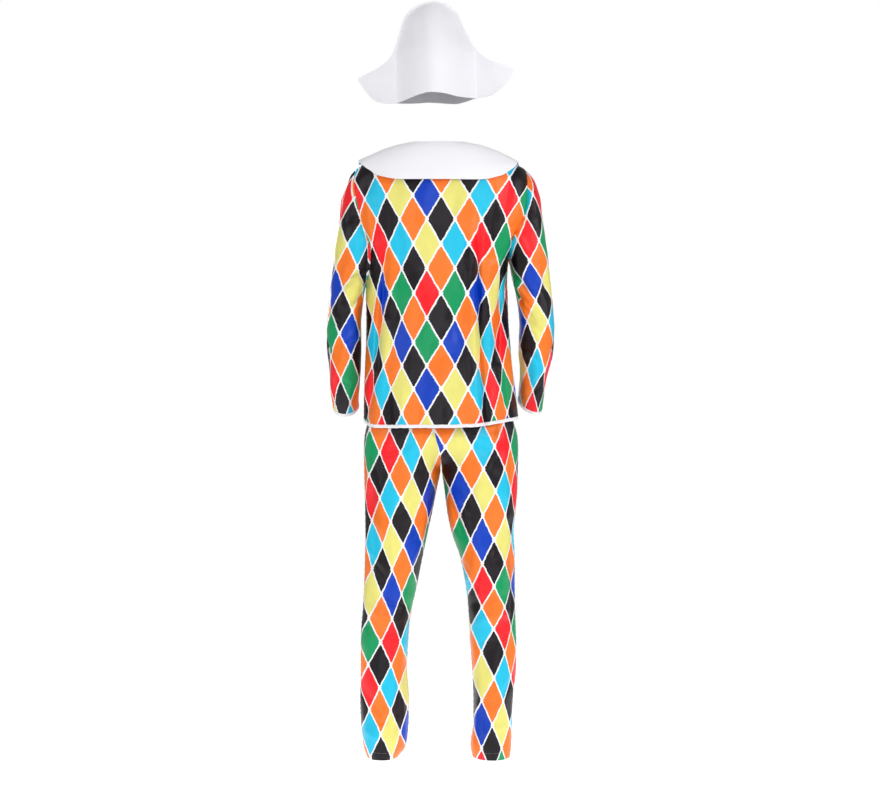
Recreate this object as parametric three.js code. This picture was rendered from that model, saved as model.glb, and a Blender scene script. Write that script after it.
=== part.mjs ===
// A jester costume as it is worn, with nobody in it: felt hat, loose top with a round collar, and trousers.
// Millimetres. +Z is up, the costume faces -Y, and the wearer's left is +X.
// Heights in the tables are above the soles. WORN_AT takes them to the origin, midway between the shoulders.

import * as THREE from 'three';

const WORN_AT = 1600;
const CLOTH = 1.6;
const FELT = 2.2;
const COLLAR_CLOTH = 2.0;
const BINDING = 2.6;
const BINDING_HEIGHT = 8;
const WAISTBAND_HEIGHT = 30;
const SEAM_GAP = 0.3;
const SAME_HEIGHT = 0.01;

// 1 gives a plain oval section, less than 1 a squarer one
const SQUARE_TORSO = 0.9;
const SQUARE_HIP = 0.84;
const SQUARE_LEG = 0.95;

const PRINTED_KNIT = { color: 0xc8632a, roughness: 0.55 };
const WHITE_CLOTH = { color: 0xf2f1f4, roughness: 0.7 };
const WHITE_FELT = { color: 0xf4f3f2, roughness: 0.9 };

function rows(columns, values) {
  const names = columns.split(' ');
  return values.map((line) => Object.fromEntries(names.map((name, i) => [name, line[i]])));
}

// The section of the top at each height: its left and right side, its back and its front
const TORSO = rows('height left right back front', [
  [917, 182, -199, 130, -120],
  [1000, 181, -191, 127, -121],
  [1060, 179, -184, 119, -120],
  [1110, 177, -180, 109, -118],
  [1173, 176, -175, 102, -117],
  [1240, 177, -173, 105, -120],
  [1262, 177, -172, 107, -122],
  [1318, 190, -175, 112, -124],
  [1362, 207, -207, 115, -124],
  [1407, 223, -229, 117, -120],
  [1464, 231, -240, 116, -112],
  [1510, 222, -235, 110, -100],
  [1541, 207, -219, 101, -88],
  [1556, 190, -196, 95, -81],
  [1570, 166, -174, 88, -75],
  [1585, 138, -144, 79, -69],
  [1597, 107, -112, 70, -63],
  [1606, 75, -77, 62, -58],
]);
const HEM_HEIGHT = TORSO[0].height;
const NECK_HEIGHT = TORSO[TORSO.length - 1].height;

// The seam between body and sleeve, which runs from the underarm up to the shoulder
const ARMHOLE_LEFT = rows('height x', [
  [1262, 177], [1290, 168], [1331, 163], [1352, 166], [1407, 184], [1464, 198], [1510, 205], [1545, 203.5],
]);
const ARMHOLE_RIGHT = rows('height x', [
  [1318, -175], [1345, -179], [1373, -187], [1407, -202], [1431, -214], [1464, -220], [1510, -221],
  [1541, -219],
]);

// The heights at which the cloth of the top is divided, with the ends of both armholes among them
const TORSO_STEPS = rows('from to steps', [
  [917, 1100, 4], [1100, 1262, 4], [1262, 1318, 2], [1318, 1541, 7], [1541, 1545, 1], [1545, 1606, 4],
]);
const BACK_COLUMNS = 26;
const FRONT_COLUMNS = 18;
const NECK_SCOOP = 26;
const SCOOP_FROM = 1480;
// The hem rides up at the right: how far each point of it is raised
const HEM_RAISED = rows('x up', [[-199, 19], [-154, 12], [-80, 2], [0, 0], [60, -1], [140, -2], [182, 4]]);
const HEM_FADE = 160;

// Soft upright folds: x where each begins and ends, its half width, how far it stands out or sinks in,
// and whether it runs out over the edge below or dies away before it
const FOLD_ENDS_SHARPNESS = 2.2;
const FOLD_SIDES_SHARPNESS = 2;
const BACK_FOLDS = rows('topX footX top foot halfWidth out runsOut', [
  [-84, -92, 1400, 917, 20, 4, 1],
  [-104, -114, 1380, 917, 14, -8, 1],
  [-132, -140, 1340, 917, 17, 6, 1],
  [-156, -166, 1290, 917, 13, -7, 1],
  [128, 170, 1290, 917, 14, -7, 1],
  [104, 140, 1300, 917, 20, 5, 1],
  [20, 30, 1120, 917, 34, -4, 1],
]);
const FRONT_FOLDS = rows('topX footX top foot halfWidth out runsOut', [
  [-92, -104, 1390, 917, 15, -7, 1],
  [-66, -72, 1360, 917, 22, 5, 1],
  [96, 118, 1380, 917, 15, -7, 1],
  [124, 150, 1330, 917, 20, 5, 1],
  [6, 10, 1150, 917, 32, -4, 1],
]);
const LEG_BACK_FOLDS = rows('topX footX top foot halfWidth out runsOut', [
  [163, 150, 840, 560, 14, -6, 0],
  [20, 112, 822, 690, 15, -5, 0],
  [120, 112, 560, 330, 16, -5, 0],
  [-38, -122, 818, 680, 15, -5, 0],
  [-152, -165, 770, 320, 14, -6, 0],
  [-110, -122, 520, 260, 16, -5, 0],
]);
const LEG_FRONT_FOLDS = rows('topX footX top foot halfWidth out runsOut', [
  [24, 120, 818, 690, 15, -5, 0],
  [-40, -130, 818, 690, 15, -5, 0],
  [126, 116, 600, 330, 16, -5, 0],
  [-124, -130, 600, 330, 16, -5, 0],
]);

// Rings of a sleeve from armhole to wrist: outer side, inner side, and how far back and front it reaches
const SLEEVE_LEFT = rows('outX outZ inX inZ back front', [
  [203.5, 1545, 177, 1262, 92, -86],
  [212, 1535, 178, 1256, 90, -84],
  [221, 1519, 179, 1247, 86, -80],
  [230, 1498, 180.5, 1235, 81, -76],
  [238, 1471, 182, 1218, 76, -72],
  [245, 1435, 184, 1196, 71, -68],
  [253, 1372, 186, 1168, 65, -64],
  [260, 1292, 187.5, 1132, 60, -62],
  [267, 1216, 188.5, 1098, 57, -62],
  [273, 1153, 190, 1068, 52, -64],
  [274, 1108, 191, 1042, 44, -68],
  [269, 1062, 193, 1015, 32, -74],
  [267, 1008, 196, 985, 14, -83],
  [262, 960, 197.6, 962, -6, -94],
]);
const SLEEVE_RIGHT = rows('outX outZ inX inZ back front', [
  [-219, 1541, -175, 1318, 92, -84],
  [-232, 1527, -177, 1310, 90, -83],
  [-243, 1506, -179, 1297, 86, -80],
  [-252, 1477, -182, 1281, 81, -76],
  [-258, 1440, -186, 1263, 76, -72],
  [-265, 1393, -191, 1243, 71, -68],
  [-271, 1336, -195, 1219, 65, -64],
  [-277, 1272, -198, 1190, 60, -62],
  [-284, 1212, -200, 1158, 57, -62],
  [-288.7, 1155, -200.6, 1124, 52, -64],
  [-287.5, 1105, -201, 1091, 44, -68],
  [-280, 1062, -205, 1055, 32, -74],
  [-269, 1018, -204, 1018, 14, -83],
  [-263, 956, -201, 980, -6, -94],
]);
const CUFF_DROP = 20;
const CAP_FADE = 0.5;

// The collar's edge round the neck: 0 is the back, 90 the shoulder, 180 the front
const COLLAR_EDGE = rows('turn edge', [
  [0, 1508], [22, 1509], [37, 1518], [50, 1535], [64, 1548], [90, 1557], [112, 1546], [135, 1518],
  [155, 1492], [180, 1480],
]);
// It is sewn down round the neck and stands off the body towards its edge
const COLLAR_LIFT = rows('share lift', [[0, 0.4], [0.2, 3.2], [0.6, 4.6], [1, 7]]);
const COLLAR_ROWS = 5;
const COLLAR_ABOVE_NECK = 1;
const COLLAR_SPLIT = 178;
const COLLAR_ROUND_FROM = 148;
const COLLAR_ROUNDING = 0.8;
const COLLAR_SLOPE_STEP = 2;

// The sections of the trousers at each height: both sides of each leg, and their back and front
const TROUSERS = rows('height leftOut leftIn rightOut rightIn back front', [
  [98, 174, 96, -179, -86, 62, -58],
  [126, 183, 77, -182, -81, 66, -61],
  [180, 189, 71, -184, -88, 69, -63],
  [235, 191, 69.5, -186, -88, 71, -64],
  [314, 190, 74, -194, -84.5, 72, -66],
  [353, 190, 73, -195, -82, 72, -68],
  [415, 188, 70, -193, -78, 72, -72],
  [462, 184, 63, -191.5, -76, 73, -76],
  [522, 181, 50, -190.5, -69, 76, -80],
  [588, 179, 37, -190.5, -56, 83, -85],
  [652, 178, 23.5, -187.5, -34, 91, -92],
  [700, 178.5, 13, -192.5, -24, 98, -98],
  [760, 180, 1, -197, -16.5, 106, -104],
  [805, 181, -7.5, -198, -10.5, 113, -108],
  [850, 181.5, -8.6, -199, -8.6, 118, -110],
  [885, 180, -8.6, -197.5, -8.6, 119, -110],
  [905, 176.2, -8.6, -193, -8.6, 112.4, -104],
  [940, 168, -8.6, -182, -8.6, 107, -99],
  [1000, 160, -8.6, -173, -8.6, 101, -95],
  [1040, 150, -8.6, -164, -8.6, 94, -90],
]);
const CROTCH_HEIGHT = 812;
const CROTCH_RISE = 78;
const CROTCH_ROUNDNESS = 6;
const HIP_REACH = 120;
const MIDDLE_X = -8.6;
const LEG_MIDDLE_Y = 3;
const LEG_COLUMNS = 10;
const LEG_STEPS = rows('from to steps', [
  [98, 235, 3], [235, 462, 4], [462, 760, 5], [760, 812, 1], [812, 850, 3], [850, 890, 2], [890, 1040, 3],
]);

// The outline of the hat: its upper edge is sewn, and it is open along its lower edge
const HAT_TOP = rows('x z', [
  [-188.5, 1794], [-171.7, 1802], [-142, 1810.5], [-118, 1820.5], [-103, 1833], [-91.4, 1847.6],
  [-79.5, 1867], [-67.4, 1892], [-58, 1912.8], [-49.4, 1930.8], [-34.6, 1945.6], [-16, 1956], [7.4, 1961],
  [30, 1958], [49.4, 1951.3], [64, 1943], [72.9, 1934], [85.2, 1912.8], [94.1, 1882.9], [103.2, 1852.5],
  [112.4, 1829], [127.2, 1810.5], [150.9, 1793], [174.9, 1781], [197, 1768.5],
]);
const HAT_BOTTOM = rows('x z', [
  [-188.5, 1790], [-175, 1766], [-156.8, 1745], [-133.4, 1729], [-112.4, 1724], [-76.3, 1718], [-52.4, 1716],
  [-28.4, 1719], [-4.7, 1722], [19.3, 1723], [49.4, 1718.6], [70.4, 1714], [85, 1711], [100, 1709],
  [121, 1708], [142, 1710], [160, 1718], [174.9, 1734], [187, 1751], [197, 1764.5],
]);
// Where the felt bulges round the head: the middle, the half width and the depth of the bulge
const HAT_BULGE = rows('height middle halfWidth depth', [
  [1700, 3, 93, 96], [1800, 4, 93, 94], [1830, 5, 92, 89], [1852, 6, 88, 82], [1883, 9, 78, 67],
  [1913, 12, 64, 47], [1935, 12, 47, 27], [1950, 10, 28, 10], [1958, 8, 9, 1], [1962, 8, 6, 0],
]);
const HAT_COLUMNS_X = rows('from to steps', [
  [-188.5, -118, 3], [-118, -34.6, 5], [-34.6, 49.4, 4], [49.4, 127.2, 5], [127.2, 197, 3],
]);
const HAT_ROWS = 11;
const BULGE_POWER = 2.2;

// A smooth curve through one column of a table
function follow(table, key, column) {
  const at = table.map((row) => row[key]);
  const value = table.map((row) => row[column]);
  const last = at.length - 1;
  const step = at.slice(1).map((a, i) => (value[i + 1] - value[i]) / (a - at[i]));
  const slope = value.map((_, i) => {
    if (i === 0) return step[0];
    if (i === last) return step[last - 1];
    if (step[i - 1] * step[i] <= 0) return 0;
    return 2 / (1 / step[i - 1] + 1 / step[i]);
  });
  return (a) => {
    if (a <= at[0]) return value[0];
    if (a >= at[last]) return value[last];
    const i = at.findIndex((next) => next > a) - 1;
    const width = at[i + 1] - at[i];
    const t = (a - at[i]) / width;
    const u = 1 - t;
    return value[i] * u * u * (1 + 2 * t) + value[i + 1] * t * t * (3 - 2 * t)
      + width * (slope[i] * t * u * u - slope[i + 1] * t * t * u);
  };
}

// A curve through each named column, in one object
function followAll(table, key, columns) {
  return Object.fromEntries(columns.split(' ').map((column) => [column, follow(table, key, column)]));
}

function divide(steps) {
  const marks = [steps[0].from];
  for (const { from, to, steps: count } of steps) {
    for (let i = 1; i <= count; i += 1) marks.push(from + (to - from) * (i / count));
  }
  return marks;
}

const smooth = (t) => {
  const u = Math.min(1, Math.max(0, t));
  return u * u * (3 - 2 * u);
};
const power = (value, exponent) => Math.sign(value) * Math.abs(value) ** exponent;
const radians = (degrees) => (degrees * Math.PI) / 180;
const reversed = (line) => [...line].reverse();
const middleOf = (line) => line.reduce((sum, p) => sum.add(p), new THREE.Vector3()).divideScalar(line.length);
const place = (x, y, height) => new THREE.Vector3(x, y, height - WORN_AT);

// The directions in which each point of a grid of outer points faces
function facings(points, round, inside) {
  const last = points.length - 1;
  const normals = points.map((row, i) => row.map((_, j) => {
    const end = row.length - 1;
    const before = round ? row[(j + end) % row.length] : row[Math.max(0, j - 1)];
    const after = round ? row[(j + 1) % row.length] : row[Math.min(end, j + 1)];
    const below = points[Math.max(0, i - 1)][j];
    const above = points[Math.min(last, i + 1)][j];
    const across = new THREE.Vector3().subVectors(after, before);
    const up = new THREE.Vector3().subVectors(above, below);
    return across.cross(up).normalize();
  }));
  const i = Math.floor(last / 2);
  const j = Math.floor(points[i].length / 2);
  const outwards = new THREE.Vector3().subVectors(points[i][j], inside);
  const sense = Math.sign(outwards.dot(normals[i][j]));
  for (const row of normals) for (const normal of row) normal.multiplyScalar(sense);
  return { normals, sense };
}

// A wall of cloth: a grid of outer points, a grid of inner ones, and a strip along each free edge.
// round joins the last column to the first, and seam may turn the facing of a point on an edge.
function wall(points, thickness, { round = false, inside, seam } = {}) {
  const { normals, sense } = facings(points, round, inside);
  const height = points.length;
  const width = points[0].length;
  const outer = [];
  const inner = [];
  points.forEach((row, i) => row.forEach((point, j) => {
    const normal = seam ? seam(i, j, normals[i][j]) : normals[i][j];
    outer.push(point);
    inner.push(point.clone().addScaledVector(normal, -thickness));
  }));
  const vertices = [...outer, ...inner];
  const index = (i, j, side) => side * height * width + i * width + (j % width);
  const triangles = [];
  const quad = (a, b, c, d) => {
    if (vertices[a].distanceTo(vertices[c]) <= vertices[b].distanceTo(vertices[d])) {
      triangles.push([a, b, c], [a, c, d]);
    } else {
      triangles.push([a, b, d], [b, c, d]);
    }
  };
  const columns = round ? width : width - 1;
  for (let i = 0; i < height - 1; i += 1) {
    for (let j = 0; j < columns; j += 1) {
      quad(index(i, j, 0), index(i, j + 1, 0), index(i + 1, j + 1, 0), index(i + 1, j, 0));
      quad(index(i, j, 1), index(i + 1, j, 1), index(i + 1, j + 1, 1), index(i, j + 1, 1));
    }
  }
  for (let j = 0; j < columns; j += 1) {
    const top = height - 1;
    quad(index(0, j, 0), index(0, j, 1), index(0, j + 1, 1), index(0, j + 1, 0));
    quad(index(top, j, 0), index(top, j + 1, 0), index(top, j + 1, 1), index(top, j, 1));
  }
  if (!round) {
    const side = width - 1;
    for (let i = 0; i < height - 1; i += 1) {
      quad(index(i, 0, 0), index(i + 1, 0, 0), index(i + 1, 0, 1), index(i, 0, 1));
      quad(index(i, side, 0), index(i, side, 1), index(i + 1, side, 1), index(i + 1, side, 0));
    }
  }
  const geometry = new THREE.BufferGeometry();
  const coordinates = vertices.flatMap((vertex) => vertex.toArray());
  geometry.setAttribute('position', new THREE.Float32BufferAttribute(coordinates, 3));
  geometry.setIndex(triangles.flatMap((t) => (sense > 0 ? t : [t[0], t[2], t[1]])));
  geometry.computeVertexNormals();
  return geometry;
}

const costume = new THREE.Group();
costume.name = 'jester_costume';

function add(name, geometry, cloth) {
  const material = new THREE.MeshStandardMaterial({ ...cloth, metalness: 0 });
  const mesh = new THREE.Mesh(geometry, material);
  mesh.name = name;
  costume.add(mesh);
}

// The top's body. A turn of 0 is the middle of the back, 90 the left side, -90 the right, 180 the front.
const torso = followAll(TORSO, 'height', 'left right back front');

function foldOut(folds, x, height) {
  return folds.reduce((sum, fold) => {
    const along = (fold.top - height) / (fold.top - fold.foot);
    const centre = fold.topX + (fold.footX - fold.topX) * along;
    const above = smooth(along * FOLD_ENDS_SHARPNESS);
    const below = fold.runsOut ? 1 : smooth((1 - along) * FOLD_ENDS_SHARPNESS);
    const ends = above * below;
    return sum + fold.out * ends * Math.exp(-(((x - centre) / fold.halfWidth) ** 2));
  }, 0);
}

function torsoPoint(turn, height) {
  const middle = (torso.left(height) + torso.right(height)) / 2;
  const half = (torso.left(height) - torso.right(height)) / 2;
  const x = middle + half * power(Math.sin(radians(turn)), SQUARE_TORSO);
  const facing = power(Math.cos(radians(turn)), SQUARE_TORSO);
  const onBack = facing >= 0;
  const depth = onBack ? torso.back(height) : torso.front(height);
  const fold = foldOut(onBack ? BACK_FOLDS : FRONT_FOLDS, x, height)
    * smooth(Math.abs(facing) * FOLD_SIDES_SHARPNESS);
  const y = depth * Math.abs(facing) + (onBack ? fold : -fold);
  return place(x, y, height);
}

const hemUp = follow(HEM_RAISED, 'x', 'up');
const raiseHem = (point, height) => {
  point.z += hemUp(point.x) * (1 - smooth((height - HEM_HEIGHT) / HEM_FADE));
  return point;
};

function armholeOf(table, side) {
  const x = follow(table, 'height', 'x');
  const under = table[0].height;
  const tip = table[table.length - 1].height;
  const middleHeight = (under + tip) / 2;
  const reaches = (height) => height >= under - SAME_HEIGHT && height <= tip + SAME_HEIGHT;
  // How far round from the middle of the back the cloth of the body reaches at a height
  const turn = (height) => {
    if (height <= under + SAME_HEIGHT || height >= tip - SAME_HEIGHT) return 90;
    const middle = (torso.left(height) + torso.right(height)) / 2;
    const half = (torso.left(height) - torso.right(height)) / 2;
    const share = Math.min(1, Math.abs(x(height) - middle) / half);
    return (Math.asin(share ** (1 / SQUARE_TORSO)) * 180) / Math.PI;
  };
  // Both cloths that meet at the armhole seam face straight out from its middle there
  const facing = (point) => {
    const up = (point.z + WORN_AT - middleHeight) / ((tip - under) / 2) ** 2;
    const back = point.y / torso.back(middleHeight) ** 2;
    return new THREE.Vector3(0, back, up).normalize();
  };
  return { reaches, turn, facing, side };
}
const armholes = { left: armholeOf(ARMHOLE_LEFT, 1), right: armholeOf(ARMHOLE_RIGHT, -1) };
const torsoHeights = divide(TORSO_STEPS);

// Half of the seam gap is left on each side of the side seams and shoulder seams
function bodyPanel(isFront, columns) {
  const points = torsoHeights.map((height) => {
    const left = armholes.left.turn(height);
    const right = armholes.right.turn(height);
    const line = [];
    for (let j = 0; j <= columns; j += 1) {
      const turn = -right + ((left + right) * j) / columns;
      const scoop = isFront ? NECK_SCOOP * Math.cos(radians(turn)) ** 2
        * smooth((height - SCOOP_FROM) / (NECK_HEIGHT - SCOOP_FROM)) : 0;
      const point = raiseHem(torsoPoint(isFront ? 180 - turn : turn, height - scoop), height);
      if (j === 0 || j === columns) point.y += (isFront ? -1 : 1) * (SEAM_GAP / 2);
      line.push(point);
    }
    return line;
  });
  const seam = (i, j, normal) => {
    if (j !== 0 && j !== columns) return normal;
    const armhole = j === 0 ? armholes.right : armholes.left;
    if (armhole.reaches(torsoHeights[i])) return armhole.facing(points[i][j]);
    return new THREE.Vector3(normal.x, 0, normal.z).normalize();
  };
  const inside = place(0, 0, (HEM_HEIGHT + NECK_HEIGHT) / 2);
  return { points, geometry: wall(points, CLOTH, { inside, seam }) };
}

const back = bodyPanel(false, BACK_COLUMNS);
const front = bodyPanel(true, FRONT_COLUMNS);
add('top_back', back.geometry, PRINTED_KNIT);
add('top_front', front.geometry, PRINTED_KNIT);

// A sleeve is one tube. Its first ring is the armhole's own points, moved out by the seam gap.
function sleeve(table, armhole) {
  const inHole = torsoHeights.filter(armhole.reaches);
  const firstRow = torsoHeights.indexOf(inHole[0]);
  const column = (panel) => (armhole.side > 0 ? panel.points[0].length - 1 : 0);
  const edge = (panel) => inHole.map((_, i) => panel.points[firstRow + i][column(panel)]);
  const backEdge = reversed(edge(back));
  const frontEdge = edge(front);
  const loop = [...backEdge, ...frontEdge.slice(1, -1)];
  loop[0] = backEdge[0].clone().setY(0);
  loop[backEdge.length - 1] = frontEdge[0].clone().setY(0);
  const lengths = [0];
  loop.forEach((point, i) => {
    lengths.push(lengths[i] + point.distanceTo(loop[(i + 1) % loop.length]));
  });
  const under = backEdge.length - 1;
  const angles = loop.map((_, i) => {
    if (i <= under) return (Math.PI * lengths[i]) / lengths[under];
    return Math.PI + (Math.PI * (lengths[i] - lengths[under])) / (lengths[loop.length] - lengths[under]);
  });
  const oval = (row, angle, along) => {
    const share = (1 + Math.cos(angle)) / 2;
    const x = row.inX + (row.outX - row.inX) * share;
    const drop = CUFF_DROP * smooth(along * 2 - 1) * Math.sin(angle);
    const height = row.inZ + (row.outZ - row.inZ) * share - drop;
    const middle = (row.back + row.front) / 2;
    return place(x, middle + ((row.back - row.front) / 2) * Math.sin(angle), height);
  };
  const points = table.map((row, i) => {
    const along = i / (table.length - 1);
    const fade = Math.max(0, 1 - along / CAP_FADE) ** 2;
    return loop.map((start, j) => {
      const shift = new THREE.Vector3().subVectors(start, oval(table[0], angles[j], 0));
      const point = oval(row, angles[j], along).addScaledVector(shift, fade);
      if (i === 0) point.x += armhole.side * SEAM_GAP;
      return point;
    });
  });
  const seam = (i, j, normal) => (i === 0 ? armhole.facing(points[i][j]) : normal);
  const inside = middleOf(points[Math.floor((points.length - 1) / 2)]);
  return { points, geometry: wall(points, CLOTH, { round: true, inside, seam }) };
}

const sleeves = {
  left: sleeve(SLEEVE_LEFT, armholes.left),
  right: sleeve(SLEEVE_RIGHT, armholes.right),
};
add('sleeve_left', sleeves.left.geometry, PRINTED_KNIT);
add('sleeve_right', sleeves.right.geometry, PRINTED_KNIT);

// A white binding closes an edge: a short ring that carries on from the edge's own points, a little proud
function binding(edge, before, thickness, height) {
  const middle = middleOf(edge);
  const proud = (thickness - CLOTH) / 2;
  const rings = [SEAM_GAP, SEAM_GAP + height].map((distance) => edge.map((point, j) => {
    const on = new THREE.Vector3().subVectors(point, before[j]).normalize();
    const out = new THREE.Vector3(point.x - middle.x, point.y - middle.y, 0).normalize();
    return point.clone().addScaledVector(on, distance).addScaledVector(out, proud);
  }));
  return wall(rings, thickness, { round: true, inside: middle });
}

const hemRow = (i) => [...back.points[i].slice(0, -1), ...reversed(front.points[i]).slice(0, -1)];
add('hem_binding', binding(hemRow(0), hemRow(1), BINDING, BINDING_HEIGHT), WHITE_CLOTH);
for (const side of ['left', 'right']) {
  const rings = sleeves[side].points;
  const last = rings.length - 1;
  const cuff = binding(rings[last], rings[last - 1], BINDING, BINDING_HEIGHT);
  add(`cuff_binding_${side}`, cuff, WHITE_CLOTH);
}

// The collar lies over the shoulders, made from the body's points moved out, and is split at the front
function collar() {
  const edge = follow(COLLAR_EDGE, 'turn', 'edge');
  const liftAt = follow(COLLAR_LIFT, 'share', 'lift');
  const backTurns = [];
  for (let j = 0; j <= BACK_COLUMNS; j += 1) backTurns.push(-90 + (180 * j) / BACK_COLUMNS);
  const frontTurns = [];
  for (let j = 1; j <= FRONT_COLUMNS / 2; j += 1) frontTurns.push(90 + (90 * j * 2) / FRONT_COLUMNS);
  frontTurns[frontTurns.length - 1] = COLLAR_SPLIT;
  const turns = [...reversed(frontTurns).map((turn) => -turn), ...backTurns, ...frontTurns];
  const out = (turn, height) => {
    const step = COLLAR_SLOPE_STEP;
    const across = torsoPoint(turn + step, height).sub(torsoPoint(turn - step, height));
    const up = torsoPoint(turn, height + step).sub(torsoPoint(turn, height - step));
    return up.cross(across).normalize();
  };
  const points = [];
  for (let i = 0; i <= COLLAR_ROWS; i += 1) {
    points.push(turns.map((turn) => {
      const size = Math.abs(turn);
      const near = (size - COLLAR_ROUND_FROM) / (COLLAR_SPLIT - COLLAR_ROUND_FROM);
      const rounding = Math.sqrt(1 - COLLAR_ROUNDING * Math.max(0, near) ** 2);
      const share = (i / COLLAR_ROWS) * rounding;
      const scoop = size > 90 ? NECK_SCOOP * Math.cos(radians(turn)) ** 2 : 0;
      const neck = NECK_HEIGHT + COLLAR_ABOVE_NECK - scoop;
      const height = neck + (edge(size) - neck) * share;
      const lift = liftAt(share) + COLLAR_CLOTH;
      return torsoPoint(turn, Math.min(height, NECK_HEIGHT)).setZ(height - WORN_AT)
        .addScaledVector(out(turn, height), lift);
    }));
  }
  return wall(points, COLLAR_CLOTH, { inside: place(0, 0, HEM_HEIGHT) });
}
add('collar', collar(), WHITE_CLOTH);

// The trousers: four panels. Below the crotch each runs half round a leg, above it a quarter round the hips.
const legs = followAll(TROUSERS, 'height', 'leftOut leftIn rightOut rightIn back front');
const legHeights = divide(LEG_STEPS);

// How far a point has gone over from the leg's section to the hips', sooner at the outer seam
function hipShare(height, inwards) {
  const start = CROTCH_HEIGHT - HIP_REACH * (1 - inwards);
  const done = Math.min(1, Math.max(0, (height - start) / (CROTCH_HEIGHT + CROTCH_RISE - start)));
  const round = Math.sqrt(1 - (1 - done) ** 2);
  return smooth(done) + (round - smooth(done)) * inwards ** CROTCH_ROUNDNESS;
}

function trouserPoint(side, isFront, angle, height) {
  const outX = side > 0 ? legs.leftOut(height) : legs.rightOut(height);
  const inX = side > 0 ? legs.leftIn(height) : legs.rightIn(height);
  const depth = isFront ? legs.front(height) : legs.back(height);
  const share = hipShare(height, angle / Math.PI);
  const legX = inX + ((outX - inX) * (1 + power(Math.cos(angle), SQUARE_LEG))) / 2;
  const legY = LEG_MIDDLE_Y + (depth - LEG_MIDDLE_Y) * power(Math.sin(angle), SQUARE_LEG);
  const hipX = MIDDLE_X + (outX - MIDDLE_X) * power(Math.cos(angle / 2), SQUARE_HIP);
  const hipY = LEG_MIDDLE_Y + (depth - LEG_MIDDLE_Y) * power(Math.sin(angle / 2), SQUARE_HIP);
  const x = legX + (hipX - legX) * share;
  const fold = foldOut(isFront ? LEG_FRONT_FOLDS : LEG_BACK_FOLDS, x, height)
    * smooth(Math.sin(angle) * FOLD_SIDES_SHARPNESS);
  const y = legY + (hipY - legY) * share + (isFront ? -fold : fold);
  const least = MIDDLE_X + side * (SEAM_GAP / 2);
  return place(side > 0 ? Math.max(x, least) : Math.min(x, least), y, height);
}

function trouserPanel(side, isFront) {
  const away = isFront ? -1 : 1;
  const points = legHeights.map((height) => {
    const line = [];
    for (let j = 0; j <= LEG_COLUMNS; j += 1) {
      const point = trouserPoint(side, isFront, (Math.PI * j) / LEG_COLUMNS, height);
      const onSeam = j === 0 || (j === LEG_COLUMNS && height <= CROTCH_HEIGHT);
      if (onSeam) point.y += away * (SEAM_GAP / 2);
      line.push(point);
    }
    return line;
  });
  const seam = (i, j, normal) => {
    if (j === 0) return new THREE.Vector3(normal.x, 0, normal.z).normalize();
    if (j !== LEG_COLUMNS) return normal;
    const height = legHeights[i];
    if (height < CROTCH_HEIGHT - SAME_HEIGHT) return new THREE.Vector3(normal.x, 0, normal.z).normalize();
    if (height < CROTCH_HEIGHT + SAME_HEIGHT) return new THREE.Vector3(0, 0, -1);
    return new THREE.Vector3(0, normal.y, normal.z).normalize();
  };
  const middle = Math.floor((legHeights.length - 1) / 2);
  const inside = place((points[middle][0].x + points[middle][LEG_COLUMNS].x) / 2, 0, legHeights[middle]);
  return { points, geometry: wall(points, CLOTH, { inside, seam }) };
}

const trousers = {};
for (const [sideName, side] of [['left', 1], ['right', -1]]) {
  for (const [faceName, isFront] of [['back', false], ['front', true]]) {
    const panel = trouserPanel(side, isFront);
    trousers[`${faceName}_${sideName}`] = panel;
    add(`trousers_${faceName}_${sideName}`, panel.geometry, PRINTED_KNIT);
  }
}

// The waistband is the casing of the elastic, a ring that carries on from the four panels' upper edges
function waistRow(i) {
  const inwards = (name) => trousers[name].points[i].slice(0, -1);
  const outwards = (name) => reversed(trousers[name].points[i]).slice(0, -1);
  const atBack = [...inwards('back_left'), ...outwards('back_right')];
  const atFront = [...inwards('front_right'), ...outwards('front_left')];
  return [...atBack, ...atFront];
}
const waistTop = legHeights.length - 1;
const waistband = binding(waistRow(waistTop), waistRow(waistTop - 1), BINDING, WAISTBAND_HEIGHT);
add('waistband', waistband, PRINTED_KNIT);

// The hat: two felt pieces sewn round the bell outline, flat at the wings and full round the head
function hatPanel(away) {
  const top = follow(HAT_TOP, 'x', 'z');
  const bottom = follow(HAT_BOTTOM, 'x', 'z');
  const bulge = followAll(HAT_BULGE, 'height', 'middle halfWidth depth');
  const columns = divide(HAT_COLUMNS_X);
  const points = [];
  for (let i = 0; i <= HAT_ROWS; i += 1) {
    const share = Math.sin((Math.PI / 2) * (i / HAT_ROWS));
    points.push(columns.map((x) => {
      const height = bottom(x) + (top(x) - bottom(x)) * share;
      const across = Math.abs(x - bulge.middle(height)) / bulge.halfWidth(height);
      const depth = bulge.depth(height) * Math.max(0, 1 - across ** BULGE_POWER);
      return place(x, away * (SEAM_GAP / 2 + FELT + depth), height);
    }));
  }
  return wall(points, FELT, { inside: place(0, 0, HAT_BULGE[1].height) });
}
add('hat_back', hatPanel(1), WHITE_FELT);
add('hat_front', hatPanel(-1), WHITE_FELT);

export default costume;
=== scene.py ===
# A jester costume in the shape in which it hangs when worn: trousers and a loose top in a harlequin print, a
# round white collar, and a tall felt hat. Metres, +Z up. The costume faces -Y and its left side is +X.
# Tables give sizes in millimetres, with heights above the floor. WORN_AT takes them to the origin.

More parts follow.
